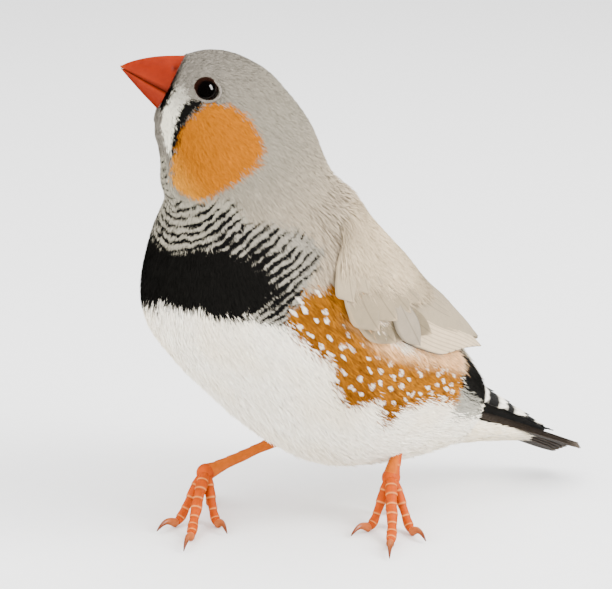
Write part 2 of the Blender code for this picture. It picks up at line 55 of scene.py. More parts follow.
# forward, left, up of each cross-section's middle; half width, depth of back and belly; then
# degrees: roll of the belly to the left, turn to the left, pitch up. From the face to the tail.
TRUNK = [
    ("face", 16.3, -4.6, 66.5, 4.7, 4.6, 6.3, 0, -36, 27),
    ("lores", 15.0, -3.7, 65.8, 6.5, 6.3, 8.1, 0, -36, 33),
    ("brow", 13.3, -2.5, 64.6, 7.5, 7.7, 9.4, 0, -35, 40),
    ("crown", 11.5, -1.3, 61.9, 8.4, 9.5, 10.5, 1, -32, 49),
    ("nape", 10.2, -0.5, 58.2, 9.5, 11.1, 11.2, 3, -24, 58),
    ("throat", 9.2, 0.0, 53.7, 10.9, 13.0, 11.2, 6, -14, 63),
    ("collar", 8.3, 0.0, 49.0, 13.0, 13.9, 15.3, 9, -6, 63),
    ("breast", 6.8, 0.0, 43.9, 15.1, 13.9, 20.0, 11, -1, 58),
    ("keel", 4.0, 0.0, 38.6, 16.0, 14.0, 19.3, 12, 0, 51),
    ("middle", -0.6, 0.0, 33.2, 16.1, 14.1, 18.6, 12, 0, 44),
    ("belly", -7.0, 0.3, 27.8, 15.8, 13.2, 18.9, 12, -3, 38),
    ("loin", -13.6, 1.2, 23.0, 14.4, 11.6, 18.2, 13, -8, 33),
    ("hip", -20.0, 2.8, 18.8, 12.1, 10.0, 14.8, 15, -14, 30),
    ("rump", -25.6, 4.6, 15.2, 8.7, 7.5, 10.6, 18, -18, 28),
    ("tail_root", -30.4, 6.3, 12.2, 5.6, 4.4, 6.2, 21, -20, 26),
]
ROWS = np.array([row[1:] for row in TRUNK], float)
LAST = len(TRUNK) - 1
FACE_CAP, FACE_BULGE = 0.5, 0.9  # how the face rounds over behind the bill: sections, millimetres
TAIL_CAP, TAIL_BULGE = 0.6, 2.0
SECTION_MM, DEGREE_MM = 5.6, 0.26  # about how far apart sections and degrees are on the body
PER_SECTION, PER_ANGLE = 10, 5  # steps to a section, and degrees to a step, of the length table
BAR_MM = 1.14  # from one fine dark bar to the next

SIDES = (("left", 1), ("right", -1))
EYE_AT, EYE_AROUND = 1.75, 106
EYE_RADIUS, EYE_PROUD = 2.05, 0.8  # as measured, with the lids' skin
BALL_RADIUS, BALL_PROUD = 1.85, 0.66  # the wet ball alone
LID_RADIUS, LID_THICK, COAT_FROM_EYE = 1.60, 0.17, 1.68
BILL_TIP = np.array([22.4, -9.0, 68.8])
TAIL_TIP = np.array([-49.8, 12.6, 3.5])
MM = 1e-3
SOCKET_DEPTH, SOCKET_WIDTH = 0.9, 1.5  # how the skin gives way behind the eyeball
CORNEA_FROM, CORNEA_SWELL = 0.75, 0.0006  # share toward the eye's front; metres for a whole share


# Curves and directions


def unit(v):
    v = np.asarray(v, float)
    return v / np.maximum(np.linalg.norm(v, axis=-1, keepdims=True), 1e-9)


def smooth(low, high, value):
    """Eases from 0 at low to 1 at high."""
    u = np.clip((np.asarray(value, float) - low) / (high - low), 0, 1)
    return u * u * (3 - 2 * u)


def hump(value, centre, width):
    """1 at the centre, dying away over the width."""
    return np.exp(-(((value - centre) / width) ** 2))


def mix(first, second, share):
    return first * (1 - share) + second * share


def tinted(first, second, share):
    """Colours between two, by a share for each point."""
    return mix(first, second, np.asarray(share)[..., None])


def side_of(angle):
    return np.abs((angle + 180) % 360 - 180)


def blend(rows, at):
    """Reads a smooth curve through the rows at places between them."""
    at = np.asarray(at, float)
    last = len(rows) - 1
    low = np.clip(np.floor(at), 0, last - 1).astype(int)
    u = (at - low)[..., None]
    before, here, there, after = (rows[np.clip(low + i, 0, last)] for i in (-1, 0, 1, 2))
    return 0.5 * (
        2 * here
        + (there - before) * u
        + (2 * before - 5 * here + 4 * there - after) * u**2
        + (3 * here - before - 3 * there + after) * u**3
    )


def section(at):
    """Middle, sizes and directions (forward, left, dorsal) of cross-sections."""
    row = blend(ROWS, np.clip(at, 0, LAST))
    roll, turn, pitch = (np.radians(row[..., i]) for i in (6, 7, 8))
    zero = np.zeros_like(roll)
    level = np.stack([np.cos(turn), np.sin(turn), zero], -1)
    left = np.stack([-np.sin(turn), np.cos(turn), zero], -1)
    up = np.array([0.0, 0.0, 1.0])
    cos_p, sin_p = np.cos(pitch)[..., None], np.sin(pitch)[..., None]
    cos_r, sin_r = np.cos(roll)[..., None], np.sin(roll)[..., None]
    forward = level * cos_p + up * sin_p
    dorsal = up * cos_p - level * sin_p
    return row, forward, left * cos_r + dorsal * sin_r, dorsal * cos_r - left * sin_r


# Soft swellings of the plumage: section, degrees, height, reach along and reach round
SWELLINGS = [
    (3.0, 66, 0.35, 0.9, 24),
    (9.6, 64, 0.35, 1.5, 15),
    (11.7, 38, 0.5, 0.8, 20),
    (12.9, 30, 0.3, 0.6, 25),
]


def trunk(at, angle, lift=0.0):
    """Points on the trunk, or lifted off it."""
    at, angle, lift = np.broadcast_arrays(*(np.asarray(v, float) for v in (at, angle, lift)))
    row, forward, left, dorsal = section(at)
    a = np.radians(angle)
    side = side_of(angle)
    for place, degrees, high, along, round_ in SWELLINGS:
        bump = ((at - place) / along) ** 2 + ((side - degrees) / round_) ** 2
        lift = lift + high * np.exp(-bump)
    face = np.clip(-at / FACE_CAP, 0, 1)
    end = np.clip((at - LAST) / TAIL_CAP, 0, 1)
    shrink = np.sqrt(np.clip(1 - np.maximum(face, end) ** 2, 0, 1))
    depth = np.where(np.cos(a) > 0, row[..., 5], row[..., 4])
    out = (row[..., 3] + lift) * np.sin(a) * shrink
    down = (depth + lift) * np.cos(a) * shrink
    ahead = face * (FACE_BULGE + lift) - end * (TAIL_BULGE + lift)
    moves = left * out[..., None] - dorsal * down[..., None] + forward * ahead[..., None]
    return row[..., :3] + moves


def lengths_along():
    """Millimetres from the face to each section, at each angle, for bars a real distance apart."""
    ats = np.linspace(0, LAST, LAST * PER_SECTION + 1)
    angles = np.linspace(0, 180, 180 // PER_ANGLE + 1)
    grid = trunk(ats[:, None], angles[None, :])
    steps = np.linalg.norm(np.diff(grid, axis=0), axis=-1)
    return np.concatenate([np.zeros((1, len(angles))), np.cumsum(steps, axis=0)])


LENGTHS = lengths_along()


def millimetres_along(at, side):
    a = np.clip(np.asarray(at, float), 0, LAST - 1e-6) * PER_SECTION
    b = np.clip(np.hypot(side, 12), 0, 179.99) / PER_ANGLE
    i, j = a.astype(int), b.astype(int)
    u, v = a - i, b - j
    near = mix(LENGTHS[i, j], LENGTHS[i, j + 1], v)
    far = mix(LENGTHS[i + 1, j], LENGTHS[i + 1, j + 1], v)
    return mix(near, far, u)


def eye_place(side):
    """A point on the head where the eye is, and the way that the eye looks."""
    _, _, left, dorsal = section(EYE_AT)
    return trunk(EYE_AT, side * EYE_AROUND), unit(left * side + dorsal * 0.12)


def to_axes(v):
    """A direction in the model's X, Y and Z."""
    return np.stack([v[..., 1], -v[..., 0], v[..., 2]], -1)


def find_shift():
    """From the measured body's place to the model's, read from where the left eye is."""
    low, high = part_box("eye_left")
    surface, outward = eye_place(1)
    middle = surface - outward * (EYE_RADIUS - EYE_PROUD)
    return np.array((low + high) / 2) - to_axes(middle) * MM


SHIFT = find_shift()
FLOOR = -SHIFT[2] * 1000


def to_world(points):
    return to_axes(np.asarray(points, float)) * MM + SHIFT


def ripple(a, b, seed=0):
    """A soft uneven value from -1 to 1 that changes over about one unit."""
    s = seed * 1.7
    return (
        np.sin(1.9 * a + 1.3 * b + s)
        + np.sin(2.3 * b - 1.1 * a + 2.1 * s)
        + np.sin(4.1 * a - 2.9 * b + 0.7 * s) * 0.6
        + np.sin(5.3 * b + 3.7 * a + 1.3 * s) * 0.4
    ) / 3.0


# Colours


def colour(code):
    """A hex sRGB colour as linear red, green and blue."""
    parts = [int(code[i : i + 2], 16) / 255 for i in (1, 3, 5)]
    return np.array([p / 12.92 if p <= 0.04045 else ((p + 0.055) / 1.055) ** 2.4 for p in parts])


def rgba(code):
    return (*colour(code), 1.0)


CROWN, NAPE, MANTLE = colour("#756f65"), colour("#847d6e"), colour("#ad9b82")
THROAT, CHEEK, CHEEK_PALE = colour("#9c9685"), colour("#a25c00"), colour("#c08020")
BAR_GROUND, BAR_GROUND_OUTER = colour("#969082"), colour("#8c8577")
BLACK, WHITE, CREAM = colour("#0f0e0c"), colour("#f6eedd"), colour("#e2b27e")
FACE_WHITE, SPOT, TUFT = colour("#ebe6d2"), colour("#e2d6c4"), colour("#949184")
CHESTNUT, CHESTNUT_DARK = colour("#9e6003"), colour("#663803")
BELLY_WARM, VENT = colour("#eddfc2"), colour("#f3ead6")
SCAPULAR, SCAPULAR_PALE = colour("#bca98a"), colour("#cfba99")
# The last is a painted highlight for the bill's tip.
BILL_RED, BILL_ORANGE, BILL_TIP_HIGHLIGHT = colour("#701901"), colour("#8c2702"), colour("#a2551a")
# The third is painted shade for the folds between scutes.
PLATE, PLATE_EDGE, FOLD_SHADE, PAD = (colour(c) for c in ("#a84000", "#d89454", "#7a2c00", "#b0540c"))
CLAW, CLAW_TIP = colour("#b5602e"), colour("#5e2810")

# Markings, as section and degrees from the middle of the belly, the same on both sides
CHEEK_PATCH = [
    (2.35, 103), (2.85, 108), (3.35, 108), (3.85, 103), (4.10, 98), (4.30, 90), (4.35, 79),
    (4.40, 69), (4.40, 55), (4.45, 32), (4.15, 24), (3.65, 21), (2.85, 29), (2.20, 46),
    (1.70, 61), (1.70, 75), (1.85, 90),
]
TEAR_STRIPE = [
    (1.72, 93), (1.20, 90), (0.92, 78), (1.08, 62), (1.72, 46), (2.42, 31), (2.62, 34),
    (2.12, 48), (1.68, 62), (1.62, 74), (1.74, 85),
]
WHITE_STRIPE = [
    (0.35, 101), (1.05, 89), (1.05, 77), (1.30, 60), (1.95, 41), (2.45, 32), (1.65, 32),
    (0.65, 40), (0.0, 46), (-0.1, 70), (-0.1, 95),
]
BEHIND_BILL = [(-0.5, 92), (-0.22, 90), (-0.15, 70), (-0.18, 50), (-0.5, 44)]
BREAST_BAND = [
    (5.60, -1), (5.65, 10), (5.55, 27), (5.72, 40), (6.10, 52), (6.50, 59), (6.85, 60),
    (7.02, 54), (6.95, 42), (6.80, 31), (6.62, 21), (6.50, 10), (6.50, -1),
]
SIDE_BARS = [
    (5.30, 56), (5.65, 74), (6.25, 85), (6.80, 87), (7.10, 78), (7.35, 67), (7.45, 60),
    (7.60, 52), (7.50, 49), (7.15, 44), (6.70, 40), (5.6, 30), (5.0, 50),
]
THROAT_BARS = [
    (2.20, -1), (2.20, 23), (4.15, 16), (4.45, 29), (4.70, 58), (5.30, 60), (5.9, 50),
    (5.9, -1),
]
FLANK = [
    (8.00, 88), (7.55, 80), (7.50, 74), (7.25, 68), (7.35, 61), (7.50, 54), (7.90, 53),
    (8.45, 55), (8.85, 55), (9.20, 50), (9.55, 47), (9.85, 49), (10.05, 55), (10.20, 60),
    (10.80, 50), (10.95, 63), (11.55, 71), (12.00, 75), (12.65, 73), (12.65, 81),
    (12.55, 97), (12.20, 116), (11.60, 108), (10.90, 95), (10.30, 88), (9.65, 84),
    (9.15, 82), (8.70, 84), (8.30, 87),
]
# The belly's white reaches up to these degrees at these sections.
WHITE_EDGE = (
    [0, 6.1, 6.5, 7.0, 7.4, 8, 9, 11, 12, 13, 14.6],
    [0, 0, 46, 50, 62, 84, 88, 96, 112, 100, 90],
)
# The closed wing's stations: section, lower edge and upper edge in degrees
WING_STATIONS = np.array([
    (6.8, 106, 128), (7.5, 93, 146), (8.4, 85, 158), (9.6, 86, 166), (10.8, 95, 170),
    (12.0, 109, 170), (13.4, 126, 160),
], float)
WING_OUTLINE = [(at, low) for at, low, _ in WING_STATIONS]
WING_OUTLINE += [(at, high) for at, _, high in WING_STATIONS[::-1]]


def inside(shape, at, side):
    """Which points lie inside a closed outline."""
    found = np.zeros(np.shape(at), bool)
    for (a1, s1), (a2, s2) in zip(shape, shape[1:] + shape[:1]):
        if s1 == s2:
            continue
        crosses = (s1 > side) != (s2 > side)
        found ^= crosses & (at < (a2 - a1) * (side - s1) / (s2 - s1) + a1)
    return found


def outline_gap(shape, at, side):
    """Rough millimetres from a closed outline: positive outside it, negative inside."""
    at, side = np.broadcast_arrays(np.asarray(at, float), np.asarray(side, float))
    p = np.stack([at * SECTION_MM, side * DEGREE_MM], -1)
    best = np.full(p.shape[:-1], 1e9)
    for (a1, s1), (a2, s2) in zip(shape, shape[1:] + shape[:1]):
        start = np.array([a1 * SECTION_MM, s1 * DEGREE_MM])
        run = np.array([a2 * SECTION_MM, s2 * DEGREE_MM]) - start
        u = np.clip(((p - start) @ run) / max(run @ run, 1e-9), 0, 1)
        best = np.minimum(best, np.linalg.norm(p - start - u[..., None] * run, axis=-1))
    return np.where(inside(shape, at, side), -best, best)


def markings(root_at, root_angle, at, angle):
    """Colour, bar phase and bar share of plumage.

    A feather's colour follows its root, and the fine bars follow each point of it.
    """
    side, here = side_of(root_angle), side_of(angle)
    wander = ripple(root_at * 2.2, side * 0.13, 1)
    head = tinted(CROWN, NAPE, smooth(0.5, 4.5, root_at))
    tint = tinted(head, MANTLE, smooth(4.0, 8.0, root_at))
    white_edge = np.interp(root_at, *WHITE_EDGE) + 2.5 * wander
    warm = smooth(-0.4, 0.9, ripple(root_at * 1.1, side * 0.06, 2))
    belly = tinted(WHITE, BELLY_WARM, warm * 0.55)
    tint = tinted(tint, belly, smooth(-4, 4, white_edge - side))
    cream = smooth(10, 2, np.abs(side - white_edge - 3)) * smooth(7.8, 9.0, root_at)
    tint = tinted(tint, CREAM, cream * 0.8)
    rump = (root_at > 12.5 + 0.15 * wander) & (side > 89 + 4 * wander) & (side < 150)
    tint[rump] = BLACK * 1.6
    tuft = (root_at > 12.6) & (root_at < 13.7)
    tint[tuft & (side > 68 + 5 * wander) & (side <= 89 + 4 * wander)] = TUFT
    tint[(root_at > 12.3) & (side >= 150)] = VENT * 0.8

    # Dark scaly flecks on the forehead and crown.
    flecks = smooth(0.0, 0.7, ripple(root_at * 6, side * 0.35, 11))
    tint *= (1 - 0.42 * flecks * smooth(3.4, 1.6, root_at) * smooth(84, 104, side))[..., None]

    throat = inside(THROAT_BARS, root_at, side)
    tint[throat] = THROAT
    side_bars = inside(SIDE_BARS, root_at, side)
    near_band = outline_gap(BREAST_BAND, root_at, side)
    tint[side_bars] = tinted(BAR_GROUND, BAR_GROUND_OUTER, smooth(2.0, 7.0, near_band))[side_bars]
    flank = inside(FLANK, root_at + 0.10 * wander, side + 1.6 * wander)
    streak = ripple(root_at * 3.0, side * 0.62, 5) + 0.4 * smooth(80, 55, side)
    chestnut = tinted(CHESTNUT, CHESTNUT_DARK, smooth(-0.5, 0.9, streak))
    # Under the wing the flank fades to loose cream and peach feathers.
    under_wing = smooth(3.4, 0.4, outline_gap(WING_OUTLINE, root_at, side) + 0.7 * wander)
    chestnut = tinted(chestnut, CREAM, under_wing * smooth(7.9, 8.9, root_at) * 0.85)
    tint[flank] = chestnut[flank]
    grain = ripple(root_at * 9, side * 0.6, 21)
    ragged_side = side + 1.5 * wander + 2.0 * grain
    band = inside(BREAST_BAND, root_at + 0.05 * wander + 0.10 * grain, ragged_side)
    tint[band] = BLACK
    cheek = inside(CHEEK_PATCH, root_at, side)
    tint[cheek] = tinted(CHEEK, CHEEK_PALE, smooth(55, 20, side))[cheek]
    white = inside(WHITE_STRIPE, root_at, side)
    dull = 0.62 * smooth(62, 90, side) + 0.3 * flecks * smooth(50, 80, side)
    tint[white] = tinted(FACE_WHITE, CROWN, dull)[white]
    tint[inside(TEAR_STRIPE, root_at, side)] = BLACK
    tint[inside(BEHIND_BILL, root_at, side)] = BLACK * 1.5

    plain = cheek | band | flank
    rim = smooth(-0.4, 1.4, -outline_gap(SIDE_BARS, root_at, side))
    throat_rim = smooth(0.0, 1.6, -outline_gap(THROAT_BARS, root_at, side))
    patchy = 0.16 * ripple(root_at * 3.1, side * 0.17, 9)
    throat_share = 0.30 + 0.30 * smooth(3.9, 5.4, root_at) + patchy
    throat_share = throat_share * (0.35 + 0.65 * throat_rim)
    side_share = (1.02 - 0.70 * smooth(0.0, 6.5, near_band) + patchy) * (0.3 + 0.7 * rim)
    share = np.where(throat & ~plain, throat_share, 0.0)
    share = np.where(side_bars & ~plain, np.maximum(side_share, share), share)
    wave = 0.22 * np.sin(np.radians(here) * 8 + 0.9 * np.sin(at * 5))
    wave = wave + 0.20 * ripple(at * 4, here * 0.25, 7)
    return tint, millimetres_along(at, here) / BAR_MM + wave, np.clip(share, 0, 1)


def no_bars(tint):
    """A plain colour in the form that markings gives."""
    none = np.zeros(tint.shape[:-1])
    return tint, none, none


# Meshes from arrays

WELD = 2e-6  # metres


def build_mesh(name, points, faces):
    """A smooth mesh from bird points and an array of triangles or of quads."""
    faces = np.asarray(faces)
    corners = faces.shape[1]
    mesh = bpy.data.meshes.new(name)
    mesh.vertices.add(len(points))
    mesh.vertices.foreach_set("co", to_world(points).astype(np.float32).ravel())
    mesh.loops.add(faces.size)
    mesh.loops.foreach_set("vertex_index", faces.astype(np.int32).ravel())
    mesh.polygons.add(len(faces))
    mesh.polygons.foreach_set("loop_start", np.arange(0, faces.size, corners, dtype=np.int32))
    mesh.polygons.foreach_set("use_smooth", np.ones(len(faces), bool))
    mesh.update(calc_edges=True)
    made = bpy.data.objects.new(name, mesh)
    bpy.context.scene.collection.objects.link(made)
    return made


def set_colour(piece, name, values):
    layer = piece.data.attributes.new(name, "FLOAT_COLOR", "POINT")
    flat = np.ones((len(values), 4), np.float32)
    flat[:, :3] = values
    layer.data.foreach_set("color", flat.ravel())


def set_number(piece, name, values):
    layer = piece.data.attributes.new(name, "FLOAT", "POINT")
    layer.data.foreach_set("value", np.asarray(values, np.float32))


def set_uv(piece, name, uv):
    """A UV map from one place for each vertex."""
    mesh = piece.data
    index = np.empty(len(mesh.loops), np.int32)
    mesh.loops.foreach_get("vertex_index", index)
    layer = mesh.uv_layers.new(name=name)
    layer.data.foreach_set("uv", np.asarray(uv, np.float32)[index].ravel())


def finish_piece(piece, finish, replaced=()):
    piece.data.materials.clear()
    piece.data.materials.append(finish)
    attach(piece, "root")
    if replaced:
        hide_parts(*replaced)


def turns(sides):
    """Angles evenly round a circle."""
    return 2 * np.pi * np.arange(sides) / sides


def tube_rings(path, radii, sides, up, flat=1.0):
    """Rings round a path. A radius is one number or one for each side of its ring."""
    path = np.asarray(path, float)
    rings = []
    for k, middle in enumerate(path):
        along = unit(path[min(k + 1, len(path) - 1)] - path[max(k - 1, 0)])
        out = unit(np.cross(along, up))
        over = np.cross(out, along)
        a = turns(sides)
        wide, high = radii[k] * np.cos(a), radii[k] * flat * np.sin(a)
        rings.append(middle + out * wide[:, None] + over * high[:, None])
    return np.array(rings)


def ring_quads(rows, sides, count):
    """Quads from each of some rings to the next, where the rings have count points in all."""
    i = np.arange(rows)[:, None] * sides
    after = (i + sides) % count
    j = np.arange(sides)[None, :]
    k = (j + 1) % sides
    return np.stack([i + j, i + k, after + k, after + j], -1).reshape(-1, 4)


def loft(rings):
    """Points and quads of a closed shape through rings; its ends close on one point each."""
    rings = np.asarray(rings)
    count, sides = rings.shape[:2]
    ends = [np.repeat(r.mean(axis=0)[None], sides, axis=0) for r in (rings[0], rings[-1])]
    rings = np.concatenate([ends[0][None], rings, ends[1][None]])
    return rings.reshape(-1, 3), ring_quads(count + 1, sides, (count + 2) * sides)


def weld_and_face_out(piece):
    bpy.ops.object.select_all(action="DESELECT")
    piece.select_set(True)
    bpy.context.view_layer.objects.active = piece
    bpy.ops.object.mode_set(mode="EDIT")
    bpy.ops.mesh.select_all(action="SELECT")
    bpy.ops.mesh.remove_doubles(threshold=WELD)
    bpy.ops.mesh.normals_make_consistent(inside=False)
    bpy.ops.object.mode_set(mode="OBJECT")
    piece.select_set(False)


# Plumage: tufts of fine barbs, each tuft one small feather


def even_roots(place, first, second, density, seed):
    """Places spread evenly over a surface, density to the square millimetre."""
    rows, columns = 220, 200
    a = np.linspace(*first, rows + 1)
    b = np.linspace(*second, columns + 1)
    mid_a, mid_b = (a[1:] + a[:-1]) / 2, (b[1:] + b[:-1]) / 2
    grid = place(a[:, None], b[None, :], 0.0)
    across = grid[:-1, 1:] - grid[:-1, :-1]
    along = grid[1:, :-1] - grid[:-1, :-1]
    area = np.linalg.norm(np.cross(along, across), axis=-1)
    weight = area * density(mid_a[:, None], mid_b[None, :])
    count = int(weight.sum())
    # Two steps that fill a square evenly in any number.
    n = np.arange(count) + seed * 1000
    u, v = (0.5 + 0.7548776662 * n) % 1, (0.5 + 0.5698402910 * n) % 1
    by_row = np.concatenate([[0], np.cumsum(weight.sum(axis=1))])
    at = np.interp(u * by_row[-1], by_row, a)
    row = np.clip(np.searchsorted(a, at) - 1, 0, rows - 1)
    angle = np.zeros(count)
    for i in np.unique(row):
        chosen = row == i
        cumulative = np.concatenate([[0], np.cumsum(weight[i])])
        angle[chosen] = np.interp(v[chosen] * cumulative[-1], cumulative, b)
    return at, angle


PLAIN_LOOK = {"mottle": 0.035, "strand": 0.035, "root_shade": 0.14, "heading": 0.0}
# The second number darkens each barb toward its root as painted shade under the feathers that lie
# over it, and lightens it a little toward its tip as painted light.
STATIONS = ((0.0, -1.0), (0.5, -0.2), (1.0, 0.3))  # share of a barb's length, and how light there
STATION_OF_POINT = (0, 0, 1, 1, 2)
BARB_PATCH = 0.003  # the part of the bake map that one tuft covers


def barb_coat(name, place, roots, look, paint, seed, barbs, steps, span, ragged=0.0):
    """Tufts of flat tapering barbs that lie along a surface.

    look gives for each root its length, half_width (of the tuft), thick (a barb's width), deep and
    high (lift at root and tip), fan, heading, and loose (how far the tips stray), in millimetres
    and radians. paint gives the colour, bar phase and bar share at any place. The surface is
    measured in small steps, and its span is laid out on the bake map.
    """
    rng = np.random.default_rng(seed)
    a0, b0 = roots
    n = len(a0)
    total = n * barbs

    def spread(values):
        return np.repeat(values, barbs, axis=0)

    get = {key: spread(np.broadcast_to(np.asarray(value, float), (n,)))
           for key, value in {**PLAIN_LOOK, **look}.items()}
    da, db = steps
    here = place(a0, b0, 0.0)
    along = (place(a0 + da, b0, 0.0) - here) / da
    across = (place(a0, b0 + db, 0.0) - here) / db
    per_a = np.maximum(np.linalg.norm(along, axis=-1), 1e-3)
    per_b = np.maximum(np.linalg.norm(across, axis=-1), 1e-3)
    along, across = unit(along), unit(across)
    normal = unit(np.cross(across, along))
    middle = place(a0, b0, 1.0) - here
    normal *= np.sign((normal * middle).sum(-1, keepdims=True))
    along, across, normal = spread(along), spread(across), spread(normal)

    s = np.tile(np.linspace(-1, 1, barbs), n) + rng.normal(0, 0.12, total)
    length = get["length"] * (1 - 0.28 * s**2) * rng.uniform(0.8, 1.15, total)
    heading = get["heading"] + s * get["fan"] + rng.normal(0, 0.09, total)
    fore = rng.uniform(0.0, 0.3, total) * get["length"]
    pa, pb = spread(per_a), spread(per_b)
    start_a = spread(a0) + fore / pa
    start_b = spread(b0) + s * get["half_width"] * 0.45 / pb
    bend = s * get["fan"] * 0.35
    deep = get["deep"]
    high = get["high"] + rng.normal(0, 1, total) * get["loose"]
    stations = []
    for (share, _), lift in zip(STATIONS, (deep, deep * 0.22 + high * 0.78, high)):
        turn = heading + bend * (0.5 - share)
        sa = start_a + length * share * np.cos(turn) / pa
        sb = start_b + length * share * np.sin(turn) / pb
        stations.append((sa, sb, place(sa, sb, lift)))
    wide = across * np.cos(heading)[:, None] - along * np.sin(heading)[:, None]
    wide = unit(wide + normal * rng.normal(0, 0.35, total)[:, None])
    half = (get["thick"] * rng.uniform(0.8, 1.2, total) / 2)[:, None]
    p0, p1, p2 = (station[2] for station in stations)
    points = np.stack([p0 - wide * half, p0 + wide * half, p1 - wide * half * 0.9,
                       p1 + wide * half * 0.9, p2], axis=1)
    base = (np.arange(total) * 5)[:, None]
    triangles = np.stack([base + [0, 1, 3], base + [0, 3, 2], base + [2, 3, 4]], axis=1)
    facing = np.cross(points[:, 1] - points[:, 0], points[:, 3] - points[:, 0])
    flip = (facing * normal).sum(-1) < 0
    triangles[flip] = triangles[flip][:, :, ::-1]
    piece = build_mesh(name, points.reshape(-1, 3), triangles.reshape(-1, 3))

    jitter = rng.normal(0, 1, (n, 2)) * ragged
    root_a = spread(a0 + jitter[:, 0] / per_a)
    root_b = spread(b0 + jitter[:, 1] / per_b)
    shade = 1 + spread(rng.normal(0, 1, n)) * get["mottle"]
    shade = shade * (1 + rng.normal(0, 1, total) * get["strand"])
    stray = spread(rng.normal(0, 0.08, n)) + rng.normal(0, 0.05, total)
    layers = []
    for (sa, sb, _), (_, painted_light) in zip(stations, STATIONS):
        tint, phase, bar_share = paint(root_a, root_b, sa, sb)
        # Painted shade at each barb's root and painted light at its tip, as strong as the look
        # asks.
        tone = shade * (1 + get["root_shade"] * painted_light)
        layers.append((np.clip(tint * tone[:, None], 0, 1), phase + stray, bar_share))
    tints, phases, shares = (
        np.stack([layers[k][i] for k in STATION_OF_POINT], 1) for i in range(3)
    )
    set_colour(piece, "tint", tints.reshape(-1, 3))
    set_number(piece, "bar_phase", phases.ravel())
    set_number(piece, "bar_share", shares.ravel())

    # Shading follows the body more than each barb, as light does on closed plumage.
    tilt = rng.normal(0, 0.16, (total, 1)) + 0.10 * s[:, None]
    lean = rng.normal(0.10, 0.10, (total, 1))
    normals = np.repeat(unit(normal + wide * tilt + along * lean), 5, axis=0)
    piece.data.normals_split_custom_set_from_vertices(to_axes(normals))

    (a_low, a_high), (b_low, b_high) = span
    u = np.clip((b0 - b_low) / (b_high - b_low), 0, 1) * 0.99 + 0.005
    v = np.clip((a0 - a_low) / (a_high - a_low), 0, 1) * 0.99 + 0.005
    corner = np.stack([
        np.stack([(s * 0.5 + k) * 0.45, np.full_like(s, share - 0.5)], -1)
        for k, share in ((-0.1, 0), (0.1, 0), (-0.1, 0.5), (0.1, 0.5), (0, 1))
    ], 1)
    uv = spread(np.stack([u, v], -1))[:, None, :] + corner * BARB_PATCH
    set_uv(piece, "OFBake", uv.reshape(-1, 2))
    return piece


# Finishes


def fill(tree, made, inputs):
    """Sets a node's inputs, each from a value or by a link from another node's output."""
    for key, value in inputs.items():
        if isinstance(value, bpy.types.NodeSocket):
            tree.links.new(value, made.inputs[key])
        else:
            made.inputs[key].default_value = value


def add_node(tree, kind, output, inputs=None, **settings):
    """Adds one shader node with its settings and links, and gives back one of its outputs."""
    made = tree.nodes.new("ShaderNode" + kind)
    for key, value in settings.items():
        setattr(made, key, value)
    fill(tree, made, inputs or {})
    return made.outputs[output]


def new_finish(name):
    """A material, and add_node for its tree."""
    made = bpy.data.materials.new(name)
    made.use_nodes = True
    return made, partial(add_node, made.node_tree)


def set_shader(made, inputs):
    fill(made.node_tree, made.node_tree.nodes["Principled BSDF"], inputs)
    return made


def plumage_finish(name, roughness, mottle, sheen=0.0):
    """Closed contour plumage: matt keratin barbs that scatter light, so soft and hardly shiny.

    The colour comes from the markings laid on the mesh, and fine dark bars are drawn from the
    phase laid beside it. Barbs are about 0.03 mm apart; the mottle is drawn at 0.5 mm to show.
    """
    made, node = new_finish(name)
    place = node("TexCoord", "Object")
    tint = node("Attribute", "Color", attribute_name="tint")
    phase = node("Attribute", "Fac", attribute_name="bar_phase")
    share = node("Attribute", "Fac", attribute_name="bar_share")
    turn = node("Math", 0, {0: phase, 1: 2 * math.pi}, operation="MULTIPLY")
    wave = node("Math", 0, {0: turn}, operation="SINE")
    level = node("Math", 0, {0: share, 1: 1.9, 2: -1.15}, operation="MULTIPLY_ADD")
    patch = node("TexNoise", "Fac", {"Vector": place, "Scale": 560.0, "Detail": 2.0,
                                     "Roughness": 0.7})
    broken = node("Math", 0, {0: patch, 1: 4.6, 2: -2.35}, operation="MULTIPLY_ADD")
    uneven = node("Math", 0, {0: level, 1: broken}, operation="ADD")
    over = node("Math", 0, {0: wave, 1: uneven}, operation="ADD")
    sharp = node("MapRange", "Result", {"Value": over, "From Min": -0.2, "From Max": 0.3})
    has_bars = node("Math", 0, {0: share, 1: 4.0}, operation="MULTIPLY", use_clamp=True)
    amount = node("Math", 0, {0: sharp, 1: has_bars}, operation="MULTIPLY")
    noise = node("TexNoise", "Fac", {"Vector": place, "Scale": 2000.0, "Detail": 2.0})
    tone = node("MapRange", "Result", {"Value": noise, "From Min": 0.3, "From Max": 0.7,
                                       "To Min": 1 - mottle, "To Max": 1 + mottle})
    ground = node("VectorMath", "Vector", {0: tint, "Scale": tone}, operation="SCALE")
    barred = node("Mix", 2, {0: amount, 6: ground, 7: rgba("#0c0b0a")}, data_type="RGBA")
    return set_shader(made, {
        "Base Color": barred, "Roughness": roughness, "Specular IOR Level": 0.07,
        "Sheen Weight": sheen, "Sheen Roughness": 0.6,
    })


